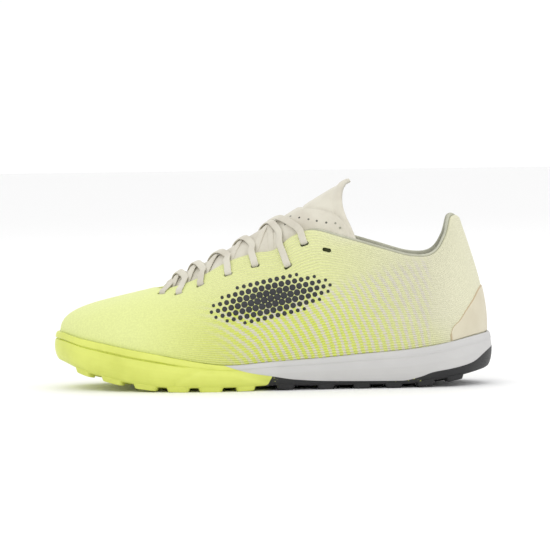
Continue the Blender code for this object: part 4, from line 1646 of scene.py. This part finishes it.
class SHOE_OT_lining(bpy.types.Operator):
    """Model the soft lining that rolls over the collar"""

    bl_idname = "shoe.lining"
    bl_label = "Collar lining"

    def execute(self, context):
        look = context.scene.shoe_look
        material = weave_material("lining_finish", look.lining, look.lining_shade, 1100.0, 0.0002, 0.95)
        finish_piece(lining_mesh(), material, "grey_lining")
        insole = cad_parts["insole"]
        insole.data.materials.clear()
        insole.data.materials.append(film_material("insole_finish", look.lining, look.lining_shade, 0.9))
        return {"FINISHED"}


class SHOE_OT_tongue(bpy.types.Operator):
    """Model the padded tongue"""

    bl_idname = "shoe.tongue"
    bl_label = "Tongue"

    def execute(self, context):
        look = context.scene.shoe_look
        material = weave_material("tongue_finish", look.cream, look.cream_shade, 1300.0, 0.00014, 0.85)
        sizes = context.scene.shoe_sizes
        finish_piece(tongue_mesh(sizes.tongue_thickness), material, "cream_knit", "tongue")
        grid = tongue_rows()
        # Pinholes are dark discs: the lining's shade and the motif's dark, as painted shade inside the holes
        holes = film_material("pinhole_painted_shade", look.lining_shade, look.motif, 0.9)
        dents = pinholes(grid, grid_normals(grid), sizes.pinhole_radius)
        finish_piece(dents, holes, "grey_lining")
        return {"FINISHED"}


class SHOE_OT_lace(bpy.types.Operator):
    """Run the flat lace through its slots"""

    bl_idname = "shoe.lace"
    bl_label = "Lace"

    def execute(self, context):
        look = context.scene.shoe_look
        material = weave_material("lace_weave", look.cream, look.cream_shade, 1500.0, 0.00018, 0.8)
        finish_piece(lace_mesh(context.scene.shoe_sizes), material, "cream_knit", "lace")
        return {"FINISHED"}


class SHOE_OT_sole(bpy.types.Operator):
    """Model the two rubbers of the outsole and the foam above them"""

    bl_idname = "shoe.sole"
    bl_label = "Sole"

    def execute(self, context):
        look = context.scene.shoe_look
        lime = rubber_material("lime_rubber_finish", look.lime_rubber, look.lime_rubber_shade, 0.42)
        black = rubber_material(
            "black_rubber_finish", look.black_rubber, look.black_rubber_shade, 0.5, speck_colour=look.lime_rubber
        )
        foam = foam_material(look)
        front, rear, middle_view = sole_side_views()
        for node, side_view, material, slot, studded in (
            ("outsole_front", front, lime, "lime_rubber", True),
            ("outsole_rear", rear, black, "black_rubber", True),
            ("midsole", middle_view, foam, "white_foam", False),
        ):
            piece = whole_sole(node + "_finish")
            if studded:
                cut(piece, all_lugs(), "UNION")
            cut(piece, side_prism("side", side_view), "INTERSECT")
            soften(piece)
            finish_piece(piece, material, slot, node)
        return {"FINISHED"}


class SHOE_OT_counter(bpy.types.Operator):
    """Model the film overlay round the heel"""

    bl_idname = "shoe.counter"
    bl_label = "Heel counter"

    def execute(self, context):
        look = context.scene.shoe_look
        material = film_material("heel_film_finish", look.beige, look.beige_shade, border=look.beige_border)
        finish_piece(counter_mesh(), material, "beige_film", "heel_counter")
        return {"FINISHED"}


class SHOE_OT_motif(bpy.types.Operator):
    """Print the dark motif of spots on both sides"""

    bl_idname = "shoe.motif"
    bl_label = "Side motif"

    def execute(self, context):
        look = context.scene.shoe_look
        material = film_material("motif_finish", look.motif, look.motif_shade, 0.5)
        finish_piece(motif_mesh(context.scene.shoe_sizes), material, "black_rubber")
        return {"FINISHED"}


# The camera looks at the lateral side from a little above, rolled by the slope of the photo's ground
PHOTO_WIDTH = 550
METRES_PER_PIXEL = 0.290 / 442.5
CAMERA_DISTANCE = 2.4
CAMERA_ELEVATION = 3.0
CAMERA_ROLL = 0.767
FRAME_MIDDLE_PIXELS = (275.0, 275.0)
SHOE_MIDDLE_PIXELS = (273.55, 388.9)
SENSOR_WIDTH = 36.0

# Soft lamps: place, width and power
LAMPS = (
    ((-0.5, -1.6, 1.7), 1.4, 7.0),
    ((1.2, -0.9, 1.4), 1.2, 3.0),
    ((0.0, 1.3, 1.6), 1.6, 5.0),
)


class SHOE_OT_stage(bpy.types.Operator):
    """Set the pale floor, the soft studio light and the camera"""

    bl_idname = "shoe.stage"
    bl_label = "Stage"

    def execute(self, context):
        bpy.ops.mesh.primitive_plane_add(size=12.0, location=(0.0, 0.0, 0.0))
        floor = context.active_object
        floor.name = "floor"
        m = Nodes("floor_finish", 0.9)
        floor.data.materials.append(m.finish((0.93, 0.93, 0.93)))
        world = bpy.data.worlds.new("studio")
        context.scene.world = world
        world.use_nodes = True
        background = world.node_tree.nodes["Background"]
        background.inputs["Color"].default_value = (1.0, 1.0, 1.0, 1.0)
        background.inputs["Strength"].default_value = 1.02
        for place, size, power in LAMPS:
            lamp = bpy.data.lights.new("soft_light", "AREA")
            lamp.size = size
            lamp.energy = power
            light = bpy.data.objects.new("soft_light", lamp)
            context.collection.objects.link(light)
            light.location = place
            aim = Vector((0.0, 0.0, 0.05)) - Vector(place)
            light.rotation_euler = aim.to_track_quat("-Z", "Y").to_euler()
        context.scene.view_settings.view_transform = "Standard"
        lens = bpy.data.cameras.new("camera")
        camera = bpy.data.objects.new("camera", lens)
        context.collection.objects.link(camera)
        elevation, roll = math.radians(CAMERA_ELEVATION), math.radians(CAMERA_ROLL)
        lens.sensor_width = SENSOR_WIDTH
        lens.lens = SENSOR_WIDTH * CAMERA_DISTANCE / (PHOTO_WIDTH * METRES_PER_PIXEL)
        lens.clip_start = 0.05
        side = (FRAME_MIDDLE_PIXELS[0] - SHOE_MIDDLE_PIXELS[0]) * METRES_PER_PIXEL
        up = (SHOE_MIDDLE_PIXELS[1] - FRAME_MIDDLE_PIXELS[1]) * METRES_PER_PIXEL
        right = Vector((1.0, 0.0, 0.0))
        forward = Vector((0.0, math.cos(elevation), -math.sin(elevation)))
        above = right.cross(forward)
        turned_right = right * math.cos(roll) - above * math.sin(roll)
        turned_up = above * math.cos(roll) + right * math.sin(roll)
        ground = Vector((0.0, CAD_BOX[0].y * 0.55, 0.0))
        aim = ground + turned_right * side + turned_up * up
        camera.location = aim - forward * CAMERA_DISTANCE
        camera.matrix_world = matrix_of((turned_right, turned_up, -forward), camera.location)
        context.scene.camera = camera
        return {"FINISHED"}


def matrix_of(axes, place):
    """World matrix from three axes and a place."""
    matrix = Matrix.Identity(4)
    for k, axis in enumerate(axes):
        for r in range(3):
            matrix[r][k] = axis[r]
    matrix.translation = place
    return matrix


OPERATORS = (
    SHOE_OT_sole,
    SHOE_OT_upper,
    SHOE_OT_lining,
    SHOE_OT_tongue,
    SHOE_OT_lace,
    SHOE_OT_counter,
    SHOE_OT_motif,
    SHOE_OT_stage,
)


class SHOE_PT_panel(bpy.types.Panel):
    """Lists the pieces of the shoe"""

    bl_label = "Turf Shoe"
    bl_idname = "SHOE_PT_panel"
    bl_space_type = "VIEW_3D"
    bl_region_type = "UI"
    bl_category = "Shoe"

    def draw(self, context):
        for operator in OPERATORS:
            self.layout.operator(operator.bl_idname)
        for group in (context.scene.shoe_sizes, context.scene.shoe_look):
            for name in type(group).__annotations__:
                self.layout.prop(group, name)


def register():
    for item in (ShoeSizes, ShoeLook, *OPERATORS, SHOE_PT_panel):
        bpy.utils.register_class(item)
    bpy.types.Scene.shoe_sizes = bpy.props.PointerProperty(type=ShoeSizes)
    bpy.types.Scene.shoe_look = bpy.props.PointerProperty(type=ShoeLook)


def unregister():
    del bpy.types.Scene.shoe_look
    del bpy.types.Scene.shoe_sizes
    for item in (SHOE_PT_panel, *reversed(OPERATORS), ShoeLook, ShoeSizes):
        bpy.utils.unregister_class(item)


def main():
    register()
    bpy.ops.shoe.sole()
    bpy.ops.shoe.upper()
    bpy.ops.shoe.lining()
    bpy.ops.shoe.tongue()
    bpy.ops.shoe.lace()
    bpy.ops.shoe.counter()
    bpy.ops.shoe.motif()
    bpy.ops.shoe.stage()


if __name__ == "__main__":
    main()
